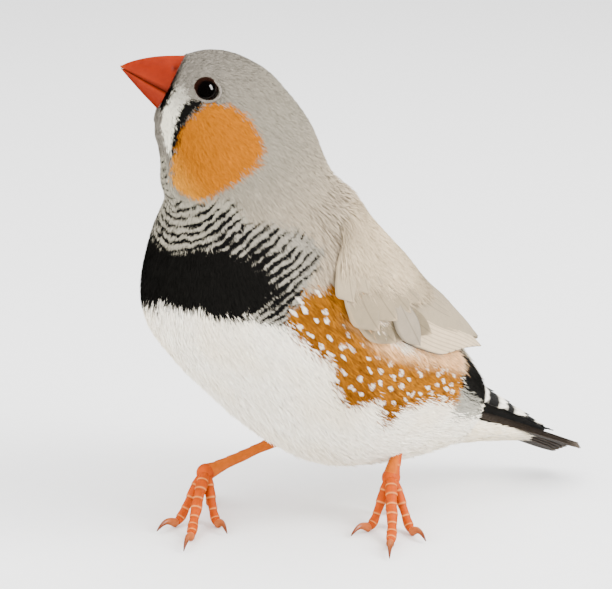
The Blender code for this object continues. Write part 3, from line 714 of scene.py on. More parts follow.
def vane_finish():
    """A flight or covert feather's vane: hooked barbs lie close and slant from the shaft.

    The map is in millimetres along and across each feather. Real barbs are 0.05 mm apart and are
    drawn 0.22 mm apart so that they show; the shaft is a darker line down the middle.
    """
    made, node = new_finish("hooked_feather_vane")
    tint = node("Attribute", "Color", attribute_name="tint")
    chart = node("UVMap", "UV", uv_map="vane")
    along, across = (node("SeparateXYZ", axis, {0: chart}) for axis in "XY")
    away = node("Math", 0, {0: across}, operation="ABSOLUTE")
    slant = node("Math", 0, {0: away, 1: -1.3, 2: along}, operation="MULTIPLY_ADD")
    turn = node("Math", 0, {0: slant, 1: 2 * math.pi / 0.22}, operation="MULTIPLY")
    wave = node("Math", 0, {0: turn}, operation="SINE")
    place = node("TexCoord", "Object")
    noise = node("TexNoise", "Fac", {"Vector": place, "Scale": 900.0, "Detail": 3.0})
    height = node("Math", 0, {0: wave, 1: 0.6, 2: noise}, operation="MULTIPLY_ADD")
    relief = node("Bump", "Normal", {"Height": height, "Strength": 0.35, "Distance": 0.00006})
    # Painted shade: the colour darkens to 0.9 in the grooves between the barbs.
    groove_shade = node("MapRange", "Result", {"Value": wave, "From Min": -1.0, "To Min": 0.90})
    mottle = node("MapRange", "Result", {"Value": noise, "From Min": 0.3, "From Max": 0.7,
                                         "To Min": 0.93, "To Max": 1.05})
    shaft = node("MapRange", "Result", {"Value": away, "From Min": 0.05, "From Max": 0.14,
                                        "To Min": 0.72})
    tone = node("Math", 0, {0: groove_shade, 1: mottle}, operation="MULTIPLY")
    tone = node("Math", 0, {0: tone, 1: shaft}, operation="MULTIPLY")
    final = node("VectorMath", "Vector", {0: tint, "Scale": tone}, operation="SCALE")
    return set_shader(made, {
        "Base Color": final, "Normal": relief, "Roughness": 0.6, "Specular IOR Level": 0.12,
        "Sheen Weight": 0.08,
    })


def bill_finish():
    """Living bill horn: carotene-red keratin with a low waxy shine, paler orange on its edges."""
    made, node = new_finish("red_bill_keratin")
    tint = node("Attribute", "Color", attribute_name="tint")
    place = node("TexCoord", "Object")
    noise = node("TexNoise", "Fac", {"Vector": place, "Scale": 700.0, "Detail": 4.0,
                                     "Roughness": 0.6})
    fine = node("TexNoise", "Fac", {"Vector": place, "Scale": 2600.0, "Detail": 2.0})
    tone = node("MapRange", "Result", {"Value": noise, "From Min": 0.3, "From Max": 0.7,
                                       "To Min": 0.86, "To Max": 1.12})
    final = node("VectorMath", "Vector", {0: tint, "Scale": tone}, operation="SCALE")
    height = node("Math", 0, {0: fine, 1: 0.5, 2: noise}, operation="MULTIPLY_ADD")
    relief = node("Bump", "Normal", {"Height": height, "Strength": 0.25, "Distance": 0.00008})
    rough = node("MapRange", "Result", {"Value": fine, "To Min": 0.30, "To Max": 0.48})
    return set_shader(made, {
        "Base Color": final, "Normal": relief, "Roughness": rough, "IOR": 1.45,
        "Specular IOR Level": 0.2, "Subsurface Weight": 0.06,
        "Subsurface Radius": (0.0012, 0.0004, 0.0002),
    })


def skin_finish():
    """Bare lid skin round the eye: pale grey, matt, with fine wrinkles about 0.2 mm apart, darker
    in their creases as painted shade.
    """
    made, node = new_finish("grey_lid_skin")
    place = node("TexCoord", "Object")
    cells = node("TexVoronoi", "Distance", {"Vector": place, "Scale": 5200.0})
    ramp = node("MapRange", "Result", {"Value": cells, "From Max": 0.7})
    crease_shaded = node("Mix", 2, {0: ramp, 6: rgba("#857d72"), 7: rgba("#544d45")},
                    data_type="RGBA")
    relief = node("Bump", "Normal", {"Height": cells, "Strength": 0.5, "Distance": 0.00005},
                  invert=True)
    return set_shader(made, {"Base Color": crease_shaded, "Normal": relief, "Roughness": 0.6})


def eye_finish():
    """A wet eye: near-black pupil, a dark brown iris at its rim, under a clear hard gloss."""
    made, node = new_finish("wet_dark_eye")
    rim = node("Attribute", "Fac", attribute_name="rim")
    place = node("TexCoord", "Object")
    fibres = node("TexNoise", "Fac", {"Vector": place, "Scale": 3500.0, "Detail": 4.0})
    wavy = node("Math", 0, {0: fibres, 1: 0.25, 2: rim}, operation="MULTIPLY_ADD")
    ring = node("MapRange", "Result", {"Value": wavy, "From Min": 0.80})
    iris = node("Mix", 2, {0: ring, 6: rgba("#030202"), 7: rgba("#1c0d08")}, data_type="RGBA")
    return set_shader(made, {
        "Base Color": iris, "Roughness": 0.08, "IOR": 1.376, "Coat Weight": 0.6,
        "Coat IOR": 1.376, "Coat Roughness": 0.02,
    })


def leg_finish():
    """Scaled leg skin: orange horny scutes, satin, paler on their far edges, with pinker pads
    below and painted shade in the folds between the scutes.
    """
    made, node = new_finish("orange_scuted_leg_skin")
    tint = node("Attribute", "Color", attribute_name="tint")
    place = node("TexCoord", "Object")
    cells = node("TexVoronoi", "Distance", {"Vector": place, "Scale": 2600.0})
    noise = node("TexNoise", "Fac", {"Vector": place, "Scale": 900.0, "Detail": 3.0})
    tone = node("MapRange", "Result", {"Value": noise, "From Min": 0.3, "From Max": 0.7,
                                       "To Min": 0.85, "To Max": 1.12})
    final = node("VectorMath", "Vector", {0: tint, "Scale": tone}, operation="SCALE")
    relief = node("Bump", "Normal", {"Height": cells, "Strength": 0.3, "Distance": 0.00006})
    return set_shader(made, {
        "Base Color": final, "Normal": relief, "Roughness": 0.45, "Specular IOR Level": 0.1,
        "Subsurface Weight": 0.03, "Subsurface Radius": (0.001, 0.0004, 0.0002),
    })


def claw_finish():
    """Claw horn: smooth orange-brown keratin. The mesh's colour darkens it to the point."""
    made, node = new_finish("smooth_claw_keratin")
    tint = node("Attribute", "Color", attribute_name="tint")
    place = node("TexCoord", "Object")
    noise = node("TexNoise", "Fac", {"Vector": place, "Scale": 1500.0})
    tone = node("MapRange", "Result", {"Value": noise, "To Min": 0.8, "To Max": 1.2})
    final = node("VectorMath", "Vector", {0: tint, "Scale": tone}, operation="SCALE")
    return set_shader(made, {"Base Color": final, "Roughness": 0.3})


# The skin: one closed surface from the face to the tail root


def skin_depth(at):
    return np.interp(at, [-0.5, 0.3, 1.5, 3, 5, 8, 14], [0.3, 0.4, 0.5, 0.6, 0.75, 0.95, 0.9])


def make_skin(finish):
    rows, columns = 250, 176
    at = np.linspace(-FACE_CAP, LAST + TAIL_CAP, rows)
    a, b = np.meshgrid(at, -180 + 360 * np.arange(columns) / columns, indexing="ij")
    depth = skin_depth(a)
    for side in (1, -1):
        distance = np.linalg.norm(trunk(a, b) - eye_place(side)[0], axis=-1)
        depth = depth + SOCKET_DEPTH * np.exp(-((distance / SOCKET_WIDTH) ** 4))
    piece = build_mesh("skin", *loft(trunk(a, b, -depth)))
    a, b = (np.concatenate([v[:1], v, v[-1:]]).ravel() for v in (a, b))
    tint, phase, share = markings(a, b, a, b)
    # The skin seen between the barbs takes the plumage's colours at four fifths, as painted shade
    # under the coat.
    set_colour(piece, "tint", tint * 0.8)
    set_number(piece, "bar_phase", phase)
    set_number(piece, "bar_share", share)
    v = (a + FACE_CAP) / (LAST + TAIL_CAP + FACE_CAP)
    set_uv(piece, "OFBake", np.stack([(b + 180) / 360, v], -1) * 0.98 + 0.01)
    weld_and_face_out(piece)
    finish_piece(piece, finish, ("head", "neck", "breast", "torso", "rump"))


# Body plumage


def eye_gap(at, angle):
    """Distance of roots from the middle of the nearer eye."""
    here = trunk(at, angle)
    return np.minimum(*(np.linalg.norm(here - eye_place(s)[0], axis=-1) for s in (1, -1)))


def body_look(at, angle):
    side = side_of(angle)
    length = np.interp(at, [-0.5, 0, 0.6, 1.5, 3, 4.4, 6, 7.5, 9, 12, 14.6],
                       [0.32, 0.4, 0.6, 0.9, 1.15, 1.5, 1.9, 2.2, 2.7, 3.0, 3.2])
    barred = inside(THROAT_BARS, at, side) | inside(SIDE_BARS, at, side)
    length = np.where(barred, length * 0.75, length)
    flank = inside(FLANK, at, side)
    belly = smooth(7, 10, at) * smooth(80, 40, side)
    # Feathers at the wing's edge are longer and lie over it, the more so in front and above.
    way = np.degrees(np.arctan2((side - 128) * DEGREE_MM, (9.8 - at) * SECTION_MM))
    over = np.interp(way, [-180, -90, -40, 0, 60, 110, 180], [0.2, 0.3, 0.75, 1, 1, 0.75, 0.2])
    over = over * hump(outline_gap(WING_OUTLINE, at, side), 0, 1.5 + 2.2 * over)
    length = length * (1 + 0.75 * over)
    cheek = inside(CHEEK_PATCH, at, side)
    return {
        "length": length,
        "half_width": 0.42 * length**0.8,
        "thick": np.interp(length, [0.3, 1, 2, 3], [0.08, 0.11, 0.15, 0.17]),
        "deep": -skin_depth(at) - 0.05 + 1.5 * over,
        "high": np.interp(at, [-0.5, 1, 5, 9], [-0.02, 0.0, 0.02, 0.05]) + 2.35 * over,
        "mottle": 0.035 + 0.10 * smooth(3.0, 0.8, at) * smooth(70, 110, side) + 0.05 * flank,
        "strand": 0.05 + 0.03 * smooth(3.5, 5.0, at) + 0.08 * flank + 0.05 * cheek,
        # Deeper painted shade at the barbs' roots on the forehead and crown.
        "root_shade": 0.14 + 0.22 * smooth(2.6, 0.8, at) * smooth(75, 110, side),
        "fan": np.where(flank, 0.30, 0.38),
        "loose": np.interp(at, [-0.5, 2, 6, 9, 13], [0.02, 0.05, 0.09, 0.13, 0.18])
        + 0.08 * belly,
    }


COAT_PIECES = [
    # name, sections, degrees, feathers to the square millimetre, barbs in each, slot
    ("coat_face", (-0.5, 2.1), (-180, 180), 22, 6, "grey_plumage"),
    ("coat_head", (2.1, 4.5), (-180, 180), 11, 7, "grey_plumage"),
    ("coat_neck", (4.5, 6.0), (-180, 180), 7, 9, "grey_plumage"),
    ("coat_breast", (6.0, 8.3), (-100, 100), 5.6, 9, "breast_plumage"),
    ("coat_belly", (8.3, 12.0), (-62, 62), 4.2, 10, "white_plumage"),
    ("coat_flank_left", (8.3, 12.0), (62, 120), 5.5, 9, "white_plumage"),
    ("coat_flank_right", (8.3, 12.0), (-120, -62), 5.5, 9, "white_plumage"),
    ("coat_mantle", (6.0, 12.0), (100, 260), 3.2, 9, "grey_plumage"),
    ("coat_rump", (12.0, 14.55), (-180, 180), 5.0, 10, "white_plumage"),
]
TRUNK_STEPS = (0.02, 0.5)


def make_coats(finish):
    for index, (name, first, second, density, barbs, slot) in enumerate(COAT_PIECES):

        def wanted(at, angle):
            at, side = np.broadcast_arrays(at, side_of(angle))
            bare = (outline_gap(WING_OUTLINE, at, side) < -1.0) & (at < 11.6)
            if name == "coat_mantle":  # the breast and flank coats cover the rest
                bare = bare | (side <= np.where(at > 8.3, 120, 100))
            return np.where(bare, 0.0, density)

        at, angle = even_roots(trunk, first, second, wanted, index + 1)
        keep = eye_gap(at, angle) > COAT_FROM_EYE
        at, angle = at[keep], angle[keep]
        look = body_look(at, angle)
        look["length"] = look["length"] * (1 - 0.5 * hump(eye_gap(at, angle), COAT_FROM_EYE, 0.6))
        piece = barb_coat(name, trunk, (at, angle), look, markings, 40 + index, barbs,
                          TRUNK_STEPS, (first, second), 0.22)
        finish_piece(piece, finish)


def make_spots(finish):
    """The white tips of the chestnut flank feathers, some in loose pairs."""
    rng = np.random.default_rng(8)
    spots = []
    for _ in range(4000):
        at, side = rng.uniform(7.2, 12.6), rng.uniform(45, 112)
        gap = 1.2 if rng.random() < 0.25 else 2.65
        near = [math.hypot((at - a) * SECTION_MM, (side - b) * DEGREE_MM) for a, b in spots]
        if min(near, default=9) > gap and outline_gap(FLANK, at, side) < -0.55:
            spots.append((at, side))

    def paint(root_at, root_angle, at, angle):
        return no_bars(np.broadcast_to(SPOT, np.shape(at) + (3,)))

    for name, sign in SIDES:
        ats, angles = np.repeat(np.array(spots), 4, axis=0).T
        size = np.repeat(rng.uniform(0.45, 1.05, len(spots)), 4)
        at = ats + rng.normal(0, 0.035, len(ats))
        angle = sign * (angles + rng.normal(0, 0.6, len(ats)) * size)
        look = {"length": 0.5 + 0.6 * size, "half_width": 0.2 * size, "thick": 0.12,
                "deep": -0.1, "high": 0.2, "fan": 0.30, "loose": 0.05}
        piece = barb_coat("flank_spots_" + name, trunk, (at, angle), look, paint, 60 + sign, 8,
                          TRUNK_STEPS, ((7, 13), sorted((sign * 40, sign * 120))))
        finish_piece(piece, finish)


# Eyes and lids


def make_eyes(eye, lid):
    for name, side in SIDES:
        surface, outward = eye_place(side)
        place = Vector(to_world(surface - outward * (BALL_RADIUS - BALL_PROUD)))
        look = Vector(to_axes(outward))
        bpy.ops.mesh.primitive_uv_sphere_add(
            segments=48, ring_count=32, radius=BALL_RADIUS * MM, location=place,
            rotation=look.to_track_quat("Z", "Y").to_euler(),
        )
        ball = bpy.context.active_object
        ball.name = "eyeball_" + name
        bpy.ops.object.transform_apply(location=True, rotation=True, scale=True)
        co = np.array([v.co for v in ball.data.vertices])
        away = (co - np.array(place)) @ np.array(look) / (BALL_RADIUS * MM)
        # The cornea swells a little over the iris.
        for vertex, share in zip(ball.data.vertices, away):
            if share > CORNEA_FROM:
                vertex.co += look * (share - CORNEA_FROM) * CORNEA_SWELL
        set_number(ball, "rim", np.sqrt(np.clip(1 - away**2, 0, 1)))
        bpy.ops.object.shade_smooth()
        ball.select_set(False)
        finish_piece(ball, eye, ("eye_" + name,))

        # The lids are one wrinkled ring that lies on the head round the ball.
        steps, sides = 72, 14
        a = turns(steps)
        forward = np.linalg.norm(trunk(EYE_AT - 0.05, side * EYE_AROUND) - surface)
        upward = np.linalg.norm(trunk(EYE_AT, side * (EYE_AROUND + 1)) - surface)
        radius = LID_RADIUS + 0.04 * np.cos(2 * a) + 0.015 * np.sin(9 * a)
        at = EYE_AT - 0.05 * radius * np.cos(a) / forward
        around = EYE_AROUND + radius * np.sin(a) / upward
        ring = trunk(at, side * around, 0.0) - outward * 0.03
        spoke = unit(ring - surface)
        rings = []
        for b in turns(sides):
            thick = LID_THICK + 0.02 * np.sin(a * 23 + b) * (math.sin(b) > -0.2)
            rings.append(ring + spoke * (math.cos(b) * thick * 1.15)[:, None]
                         + outward * (math.sin(b) * thick)[:, None])
        points = np.array(rings).transpose(1, 0, 2).reshape(-1, 3)
        lids = build_mesh("lid_" + name, points, ring_quads(steps, sides, steps * sides))
        weld_and_face_out(lids)
        finish_piece(lids, lid)


# Bill

BILL_HALVES = [
    # name, side, depth, power and least share of the taper, share of the width and of the length,
    # how far the cutting edge turns orange
    ("upper", 1, 4.1, 0.78, 0.05, 1.0, 1.0, 0.35),
    ("lower", -1, 5.1, 0.95, 0.04, 0.94, 0.975, 0.9),
]
BILL_HALF_WIDTH = 3.5
NOSTRIL_AHEAD, NOSTRIL_ASIDE, NOSTRIL_UP, NOSTRIL_WIDTH = 0.55, 2.2, 2.4, 0.38


def make_bill(finish):
    """Two sheaths: the upper with a ridge along its top and open nostrils, over the lower."""
    row, facing, _, _ = section(0.0)
    root = row[:3]
    length = np.linalg.norm(BILL_TIP - root)
    ahead = unit(BILL_TIP - root)
    left = unit(np.cross([0.0, 0.0, 1.0], ahead))
    up = np.cross(ahead, left)
    nostrils = [root + ahead * NOSTRIL_AHEAD + left * hand * NOSTRIL_ASIDE + up * NOSTRIL_UP
                for hand in (1, -1)]
    rows, sides = 46, 28
    a = np.pi * np.arange(sides + 1) / sides

    def in_nostril(spot, hole):
        return hump(np.linalg.norm(spot - hole, axis=-1), 0, NOSTRIL_WIDTH)

    for name, side, depth, power, least, width, reach, edge_orange in BILL_HALVES:
        rings, tints = [], []
        for k in range(rows):
            u = (k / (rows - 1)) ** 0.9
            taper = 1 - u
            swell = max(taper**power, least)
            level = -1.3 * taper**1.1 + side * 0.05
            middle = root + ahead * (0.1 + (length - 0.1) * min(u, reach)) + up * level
            ridge = 1 + 0.035 * hump(a, np.pi / 2, 0.22) * (side > 0)
            across = BILL_HALF_WIDTH * (swell * width) * np.cos(a)
            across = across * (1 - 0.06 * np.sin(a) ** 2)
            rise = side * (depth + side * 1.3) * swell * np.sin(a) ** 0.85 * ridge
            spot = middle + left * across[:, None] + up * rise[:, None]
            lean = ((root - spot) @ facing) / np.dot(ahead, facing)
            spot = spot + ahead * (lean * taper**6)[:, None]
            holes = nostrils if side > 0 else []
            for hole in holes:
                spot = spot - unit(spot - middle) * (0.35 * in_nostril(spot, hole))[:, None]
            rings.append(spot)
            # The orange along the cutting edges and along each crest is partly the bill's own
            # orange and partly a painted highlight; toward the tip the orange and the pale are a
            # painted highlight.
            edge, crest = hump(np.sin(a), 0, 0.28), hump(a, np.pi / 2, 0.30)
            orange = 0.75 * edge * edge_orange + 0.7 * crest + 0.25 * smooth(0.7, 1, u)
            tone = tinted(BILL_RED, BILL_ORANGE, np.clip(orange, 0, 1))
            tone = mix(tone, BILL_TIP_HIGHLIGHT, 0.35 * smooth(0.9, 1.0, u))
            # Painted shade in the nostril holes.
            for hole in holes:
                tone = tone * (1 - 0.85 * in_nostril(spot, hole))[:, None]
            # Painted shade along the cutting edges, in the gap where the two sheaths meet.
            tints.append(tone * (1 - hump(np.sin(a), 0, 0.05) * 0.6)[:, None])
        piece = build_mesh("bill_sheath_" + name, *loft(rings))
        tints = np.array(tints)
        # Painted shade on the root's cap, where the bill goes into the face.
        tints = np.concatenate([tints[:1] * 0.4, tints, tints[-1:]])
        set_colour(piece, "tint", tints.reshape(-1, 3))
        weld_and_face_out(piece)
        finish_piece(piece, finish, ("bill_" + name,))


# Vanes: whole feathers of the wings and tail


class VaneSheaf:
    """Collects whole feathers into one piece, each with its colours and its place on the maps."""

    rows, columns = 18, 9

    def __init__(self, name, cells, seed):
        self.name, self.cells = name, cells
        self.rng = np.random.default_rng(seed)
        self.points, self.quads, self.tints, self.charts, self.patches = [], [], [], [], []
        self.count = 0

    def add(self, root, tip, width, place, lifts, tone, thick=0.16, camber=0.25, tilt=0.0,
            round_=0.5, base=0.45):
        """One feather from its root to its tip, on the surface that place gives.

        tone gives the colour from the millimetres along, the share along and the share across.
        round_ is the share of the length that rounds to the tip, and base the root's width.
        """
        root, tip = np.array(root, float), np.array(tip, float)
        along = tip - root
        length = np.linalg.norm(along)
        out = np.array([-along[1], along[0]]) / length
        u = 1 - (1 - np.linspace(0, 1, self.rows)) ** 1.35
        v = np.linspace(-1, 1, self.columns)[None, :]
        half = width / 2 * np.minimum(base + 1.5 * u, 1.0)
        narrowing = (np.clip(u - (1 - round_), 0, 1) / round_) ** 2.4
        half *= np.sqrt(np.clip(1 - narrowing, 0.0, 1))
        half = half * (1 + self.rng.normal(0, 0.012, self.rows))
        half[-1] = half[-2] * 0.35
        u, half = u[:, None], half[:, None]
        spots = (root + along * u)[:, None, :] + out * (half * v)[..., None]
        # The tip's rows round forward in the middle of the vane.
        spots = spots + (along / length) * (-(v**2) * 0.22 * width * smooth(0.6, 1, u))[..., None]
        lift = lifts[0] + (lifts[1] - lifts[0]) * u + tilt * v
        arch = camber * width * 0.25 * (1 - v**2)
        shaft = 0.05 * hump(v, 0, 0.12)
        body = thick * (1 - np.abs(v) ** 3) / 2
        top = place(spots, lift + arch + shaft + body)
        low = place(spots, lift + arch - body)
        size = self.rows * self.columns
        index = self.count + np.arange(size).reshape(self.rows, self.columns)
        inner = np.zeros(index.shape, bool)
        inner[1:-1, 1:-1] = True
        under = index.copy()
        under[inner] = self.count + size + np.arange(inner.sum())
        for grid, turn in ((index, 1), (under, -1)):
            quads = np.stack([grid[:-1, :-1], grid[1:, :-1], grid[1:, 1:], grid[:-1, 1:]], -1)
            self.quads.append(quads.reshape(-1, 4)[:, ::turn])
        self.count += size + int(inner.sum())
        mm, along_share, across_share = np.broadcast_arrays(u * length, u, v)
        colours = tone(mm, along_share, across_share) * self.rng.normal(1, 0.025)
        row, column = divmod(len(self.patches) // 2, self.cells)
        local = np.stack([0.5 + 0.44 * across_share, 0.06 + 0.88 * along_share], -1)
        patch = (local + [column, row]) * (1 / self.cells)
        chart = np.stack([mm, half * v], -1)
        # Each vane's lower face takes its colours at 0.85, as painted shade under the feather.
        for kept, outer, below in ((self.points, top, low), (self.tints, colours, colours * 0.85),
                                   (self.charts, chart, chart), (self.patches, patch, patch)):
            kept += [outer.reshape(size, -1), below[inner]]

    def build(self, finish, replaced):
        piece = build_mesh(self.name, np.concatenate(self.points), np.concatenate(self.quads))
        set_colour(piece, "tint", np.clip(np.concatenate(self.tints), 0, 1))
        set_uv(piece, "vane", np.concatenate(self.charts))
        set_uv(piece, "OFBake", np.clip(np.concatenate(self.patches), 0, 1))
        finish_piece(piece, finish, (replaced,))


WING_LENGTH, WING_CLEAR, WING_TIP_LIFT = 46.0, 0.6, 2.7
BASE_END = 0.84  # share of the wing over which its soft part swells
UPPER_SQUEEZE = 0.86  # share across from where the upper edge is drawn in


def wing_edges(share):
    edges = blend(WING_STATIONS, np.clip(share, 0, 1) * (len(WING_STATIONS) - 1))
    return edges[..., 0], edges[..., 1], edges[..., 2]


def wing_width(share):
    at, low, high = wing_edges(share)
    row = section(at)[0]
    return np.radians(high - low) * (row[..., 3] + row[..., 4] + 4) / 2


def wing_point(sign, share, across, lift, least):
    """On the closed wing: share along it, across from its lower to its upper edge."""
    swell = np.sin(np.pi * np.clip(across, 0, 1))
    rise = np.minimum(0.3 + 4 * share, 1.0) * np.maximum(1 - 1.15 * share, 0.0) ** 0.7
    top = np.where(share < BASE_END, 0.5 + 0.8 * swell * rise, 0.5)
    lift = np.maximum(top + lift, least)
    share, across, lift = np.broadcast_arrays(share, across, lift)
    at, low, high = wing_edges(share)
    # The upper edge lies down on the back, and nothing reaches past the back's middle.
    over = across - UPPER_SQUEEZE
    squeezed = np.where(over > 0, UPPER_SQUEEZE + 0.17 * np.tanh(over / 0.17), across)
    around = low + (high - low) * squeezed
    down = smooth(0.66, 1.0, across)
    stand = (WING_CLEAR + lift) * (1 - 0.75 * down) + WING_TIP_LIFT * share**3 * (1 - 0.5 * down)
    return trunk(at, sign * around, stand)


def covert_tone(base, edge, edge_from=0.72, tip_from=0.9):
    base, edge = colour(base), colour(edge)

    def tone(mm, u, v):
        rim = np.maximum(smooth(edge_from, 1.0, np.abs(v)), smooth(tip_from, 1.0, u))
        return tinted(base * (0.88 + 0.12 * smooth(0.0, 0.5, u)[..., None]), edge, rim)

    return tone


TERTIAL, TERTIAL_EDGE = "#93846b", "#a7967a"
WING_TIERS = [
    # count; first root, last root, first tip, last tip; width; lifts of the first and of the
    # last, each at root and tip; tone; camber; share of the length that the rounded tip takes
    # primaries
    (7, (18, 1.2), (27, 4.4), (36.5, -1.0), (44.4, 1.8), 2.4, ((-0.5, -0.5), (-0.3, 0.0)),
     covert_tone("#c3ad8c", "#3a2f26", 0.62, 0.999), 0.06, 0.3),
    # secondaries
    (3, (11, 1.2), (18, 5.0), (25.0, -1.4), (31.0, 1.5), 4.8, ((-0.5, -0.4), (-0.4, -0.2)),
     covert_tone("#75674f", "#b8a27e", 0.7, 0.92), 0.12, 0.4),
    # tertials, the inner ones, and the long one that lies over them
    (5, (15, 9.2), (12, 20.0), (43.9, 3.6), (45.2, 4.2), 6.6, ((-0.3, 0.0), (0.0, 0.3)),
     covert_tone(TERTIAL, TERTIAL_EDGE, 0.8, 0.97), 0.10, 0.4),
    (4, (11, 21.0), (6, 14.0), (41.0, 8.8), (28.5, 20.5), 7.0, ((0.05, 0.3), (0.1, 0.35)),
     covert_tone(TERTIAL, TERTIAL_EDGE, 0.8, 0.95), 0.10, 0.4),
    (1, (16.0, 8.0), (16.0, 8.0), (28.6, -1.0), (28.6, -1.0), 4.2, ((0.0, 0.45), (0.0, 0.45)),
     covert_tone("#8b7e6b", "#9b8c76", 0.8, 0.95), 0.2, 0.35),
    # greater coverts and median coverts
    (4, (9.0, 1.5), (14, 10.0), (21.2, -1.4), (26.5, 5.5), 5.2, ((0.0, 0.28), (0.1, 0.35)),
     covert_tone("#8a7b62", "#bfa681", 0.84, 0.94), 0.18, 0.3),
    (4, (4.0, 1.0), (10, 9.0), (15.0, -1.6), (20.0, 6.0), 5.2, ((0.05, 0.35), (0.1, 0.4)),
     covert_tone("#9a8a70", "#b39e7e", 0.86, 0.95), 0.18, 0.3),
]
SCAPULAR_SPAN = ((0.0, 0.66), (-0.08, 1.08))


def make_wings(flight, plumage):
    for name, sign in SIDES:
        sheaf = VaneSheaf("wing_feathers_" + name, 6, 20 + sign)

        def vane_place(spots, lift):
            share = np.clip(spots[..., 0] / WING_LENGTH, 0, 1)
            return wing_point(sign, share, spots[..., 1] / wing_width(share), lift, 0.05)

        for count, *ends, width, lifts, tone, camber, round_ in WING_TIERS:
            root0, root1, tip0, tip1, low, high = (np.array(v) for v in (*ends, *lifts))
            for i in range(count):
                u = i / max(count - 1, 1)
                sheaf.add(mix(root0, root1, u), mix(tip0, tip1, u), width, vane_place,
                          mix(low, high, u), tone, tilt=0.08, camber=camber, round_=round_)
        sheaf.build(flight, "wing_" + name)

        def surface(share, across, lift):
            return wing_point(sign, share, across, lift, 0.02)

        def soft_edge(across, share):
            """How far along the soft small feathers reach, in millimetres."""
            reach = np.interp(across * wing_width(share), [-2, 0, 2, 5, 8, 24],
                              [12, 13.5, 17, 22, 27, 32])
            return reach - share * WING_LENGTH

        def cover(share, across):
            share, across = np.broadcast_arrays(share, across)
            return 7.0 * smooth(-1.5, 1.5, soft_edge(across, share))

        def paint(root_share, root_across, share, across):
            pale = smooth(-0.6, 0.8, ripple(root_share * 9, root_across * 5, 3))
            tint = tinted(SCAPULAR, SCAPULAR_PALE, pale)
            tint = tinted(tint, MANTLE * 1.15, smooth(0.6, 0.98, root_across))
            # Painted shade: darker toward where the soft feathers end over the vanes and toward
            # the wing's front, and darker at the wing's lower and upper edges than across its
            # middle.
            inward = smooth(0.0, 7.0, soft_edge(root_across, root_share))
            painted_light = 0.66 + 0.34 * inward * smooth(0.0, 0.26, root_share)
            painted_light = painted_light * np.interp(root_across, [0, 0.3, 0.6, 1], [0.92, 1.0, 0.95, 0.9])
            return no_bars(tint * painted_light[..., None])

        share, across = even_roots(surface, *SCAPULAR_SPAN, cover, 70)
        inner = smooth(0, 8, soft_edge(across, share))
        look = {"length": 2.0 + 1.2 * smooth(0.1, 0.5, share), "half_width": 0.8, "thick": 0.15,
                "deep": 0.05, "high": 0.5 + 0.25 * inner, "fan": 0.32, "loose": 0.05,
                "root_shade": 0.08, "strand": 0.05}
        piece = barb_coat("scapulars_" + name, surface, (share, across), look, paint, 80 + sign,
                          9, (0.003, 0.01), SCAPULAR_SPAN)
        finish_piece(piece, plumage)


# Tail


def tail_frame():
    row, forward, left, _ = section(float(LAST))
    root = row[:3] - forward * 0.15
    along = unit(TAIL_TIP - root)
    left = unit(left - along * np.dot(left, along))
    return root, along, left, np.cross(left, along)


TAIL_ROOT, TAIL_ALONG, TAIL_LEFT, TAIL_UP = tail_frame()
TAIL_LENGTH = float(np.linalg.norm(TAIL_TIP - TAIL_ROOT))
# A wedge of coverts: its length; width at root and halfway; its outer face's height at root and
# tip, its inner face's at root and tip; and which way it faces
OVER = (TAIL_LENGTH * 0.70, 7.0, 5.6, 4.3, 0.5, -0.8, -0.5, 1)
UNDER = (TAIL_LENGTH * 0.56, 7.0, 6.8, -6.0, -2.0, -1.2, -1.3, -1)
BARS_AT = [(1.6, 2.4), (4.7, 6.3), (8.0, 10.2), (12.4, 14.2)]
# start, end, how many, how far they spread, how wide each is
BARRED_TIERS = [
    (-1.2, 4.2, 7, 9.4, 2.6), (0.4, 7.6, 7, 9.0, 2.7), (3.4, 11.6, 6, 7.8, 2.8),
    (7.0, 15.2, 5, 6.0, 2.8), (10.0, 17.4, 3, 2.4, 2.8),
]
UNDER_TIERS = [(0.2, 7.5, 6, 7.0, 3.2), (4.0, TAIL_LENGTH * 0.57, 5, 5.0, 3.0)]


def tail_point(x, y, z):
    x, y, z = (np.asarray(v, float)[..., None] for v in (x, y, z))
    return TAIL_ROOT + TAIL_ALONG * x + TAIL_LEFT * y + TAIL_UP * z


def wedge(x, around, lift, sizes):
    """On a rounded wedge. around: 0 its outer face, 90 its left side, 180 its inner face."""
    length, root_width, width, root_out, tip_out, root_in, tip_in, face = sizes
    u = np.clip(x / length, 0, 1)
    half = 0.5 * (root_width + (width - root_width) * np.minimum(u / 0.5, 1.0))
    half = half * np.sqrt(np.clip(1 - (np.clip(u - 0.45, 0, 1) / 0.6) ** 2, 0.0, 1))
    out = root_out + (tip_out - root_out) * u**0.9
    inner = root_in + (tip_in - root_in) * u
    middle, high = (out + inner) / 2, (out - inner) / 2
    a = np.radians(around)
    rise = middle + face * (face * high + lift) * np.cos(a)
    return tail_point(x, (half + lift) * np.sin(a), rise)


def band_tone(start_at):
    """Black coverts crossed by white bands at set places along the tail."""

    def tone(mm, u, v):
        along = mm + 0.25 * np.abs(v) ** 2
        white = np.zeros_like(mm)
        for start, end in BARS_AT:
            start, end = start - start_at, end - start_at
            band = smooth(start - 0.2, start + 0.2, along) * smooth(end + 0.2, end - 0.2, along)
            white = np.maximum(white, band)
        return tinted(BLACK * 1.3, WHITE, white)

    return tone


def spread_out(start, end, count, spread, fall, narrow):
    """Roots and tips of feathers side by side; the outer ones end sooner."""
    for i in range(count):
        across = spread * (i / (count - 1) - 0.5)
        reach = fall * (2 * abs(across) / spread) ** 2
        yield across, (start, across), (end - reach, across * narrow)


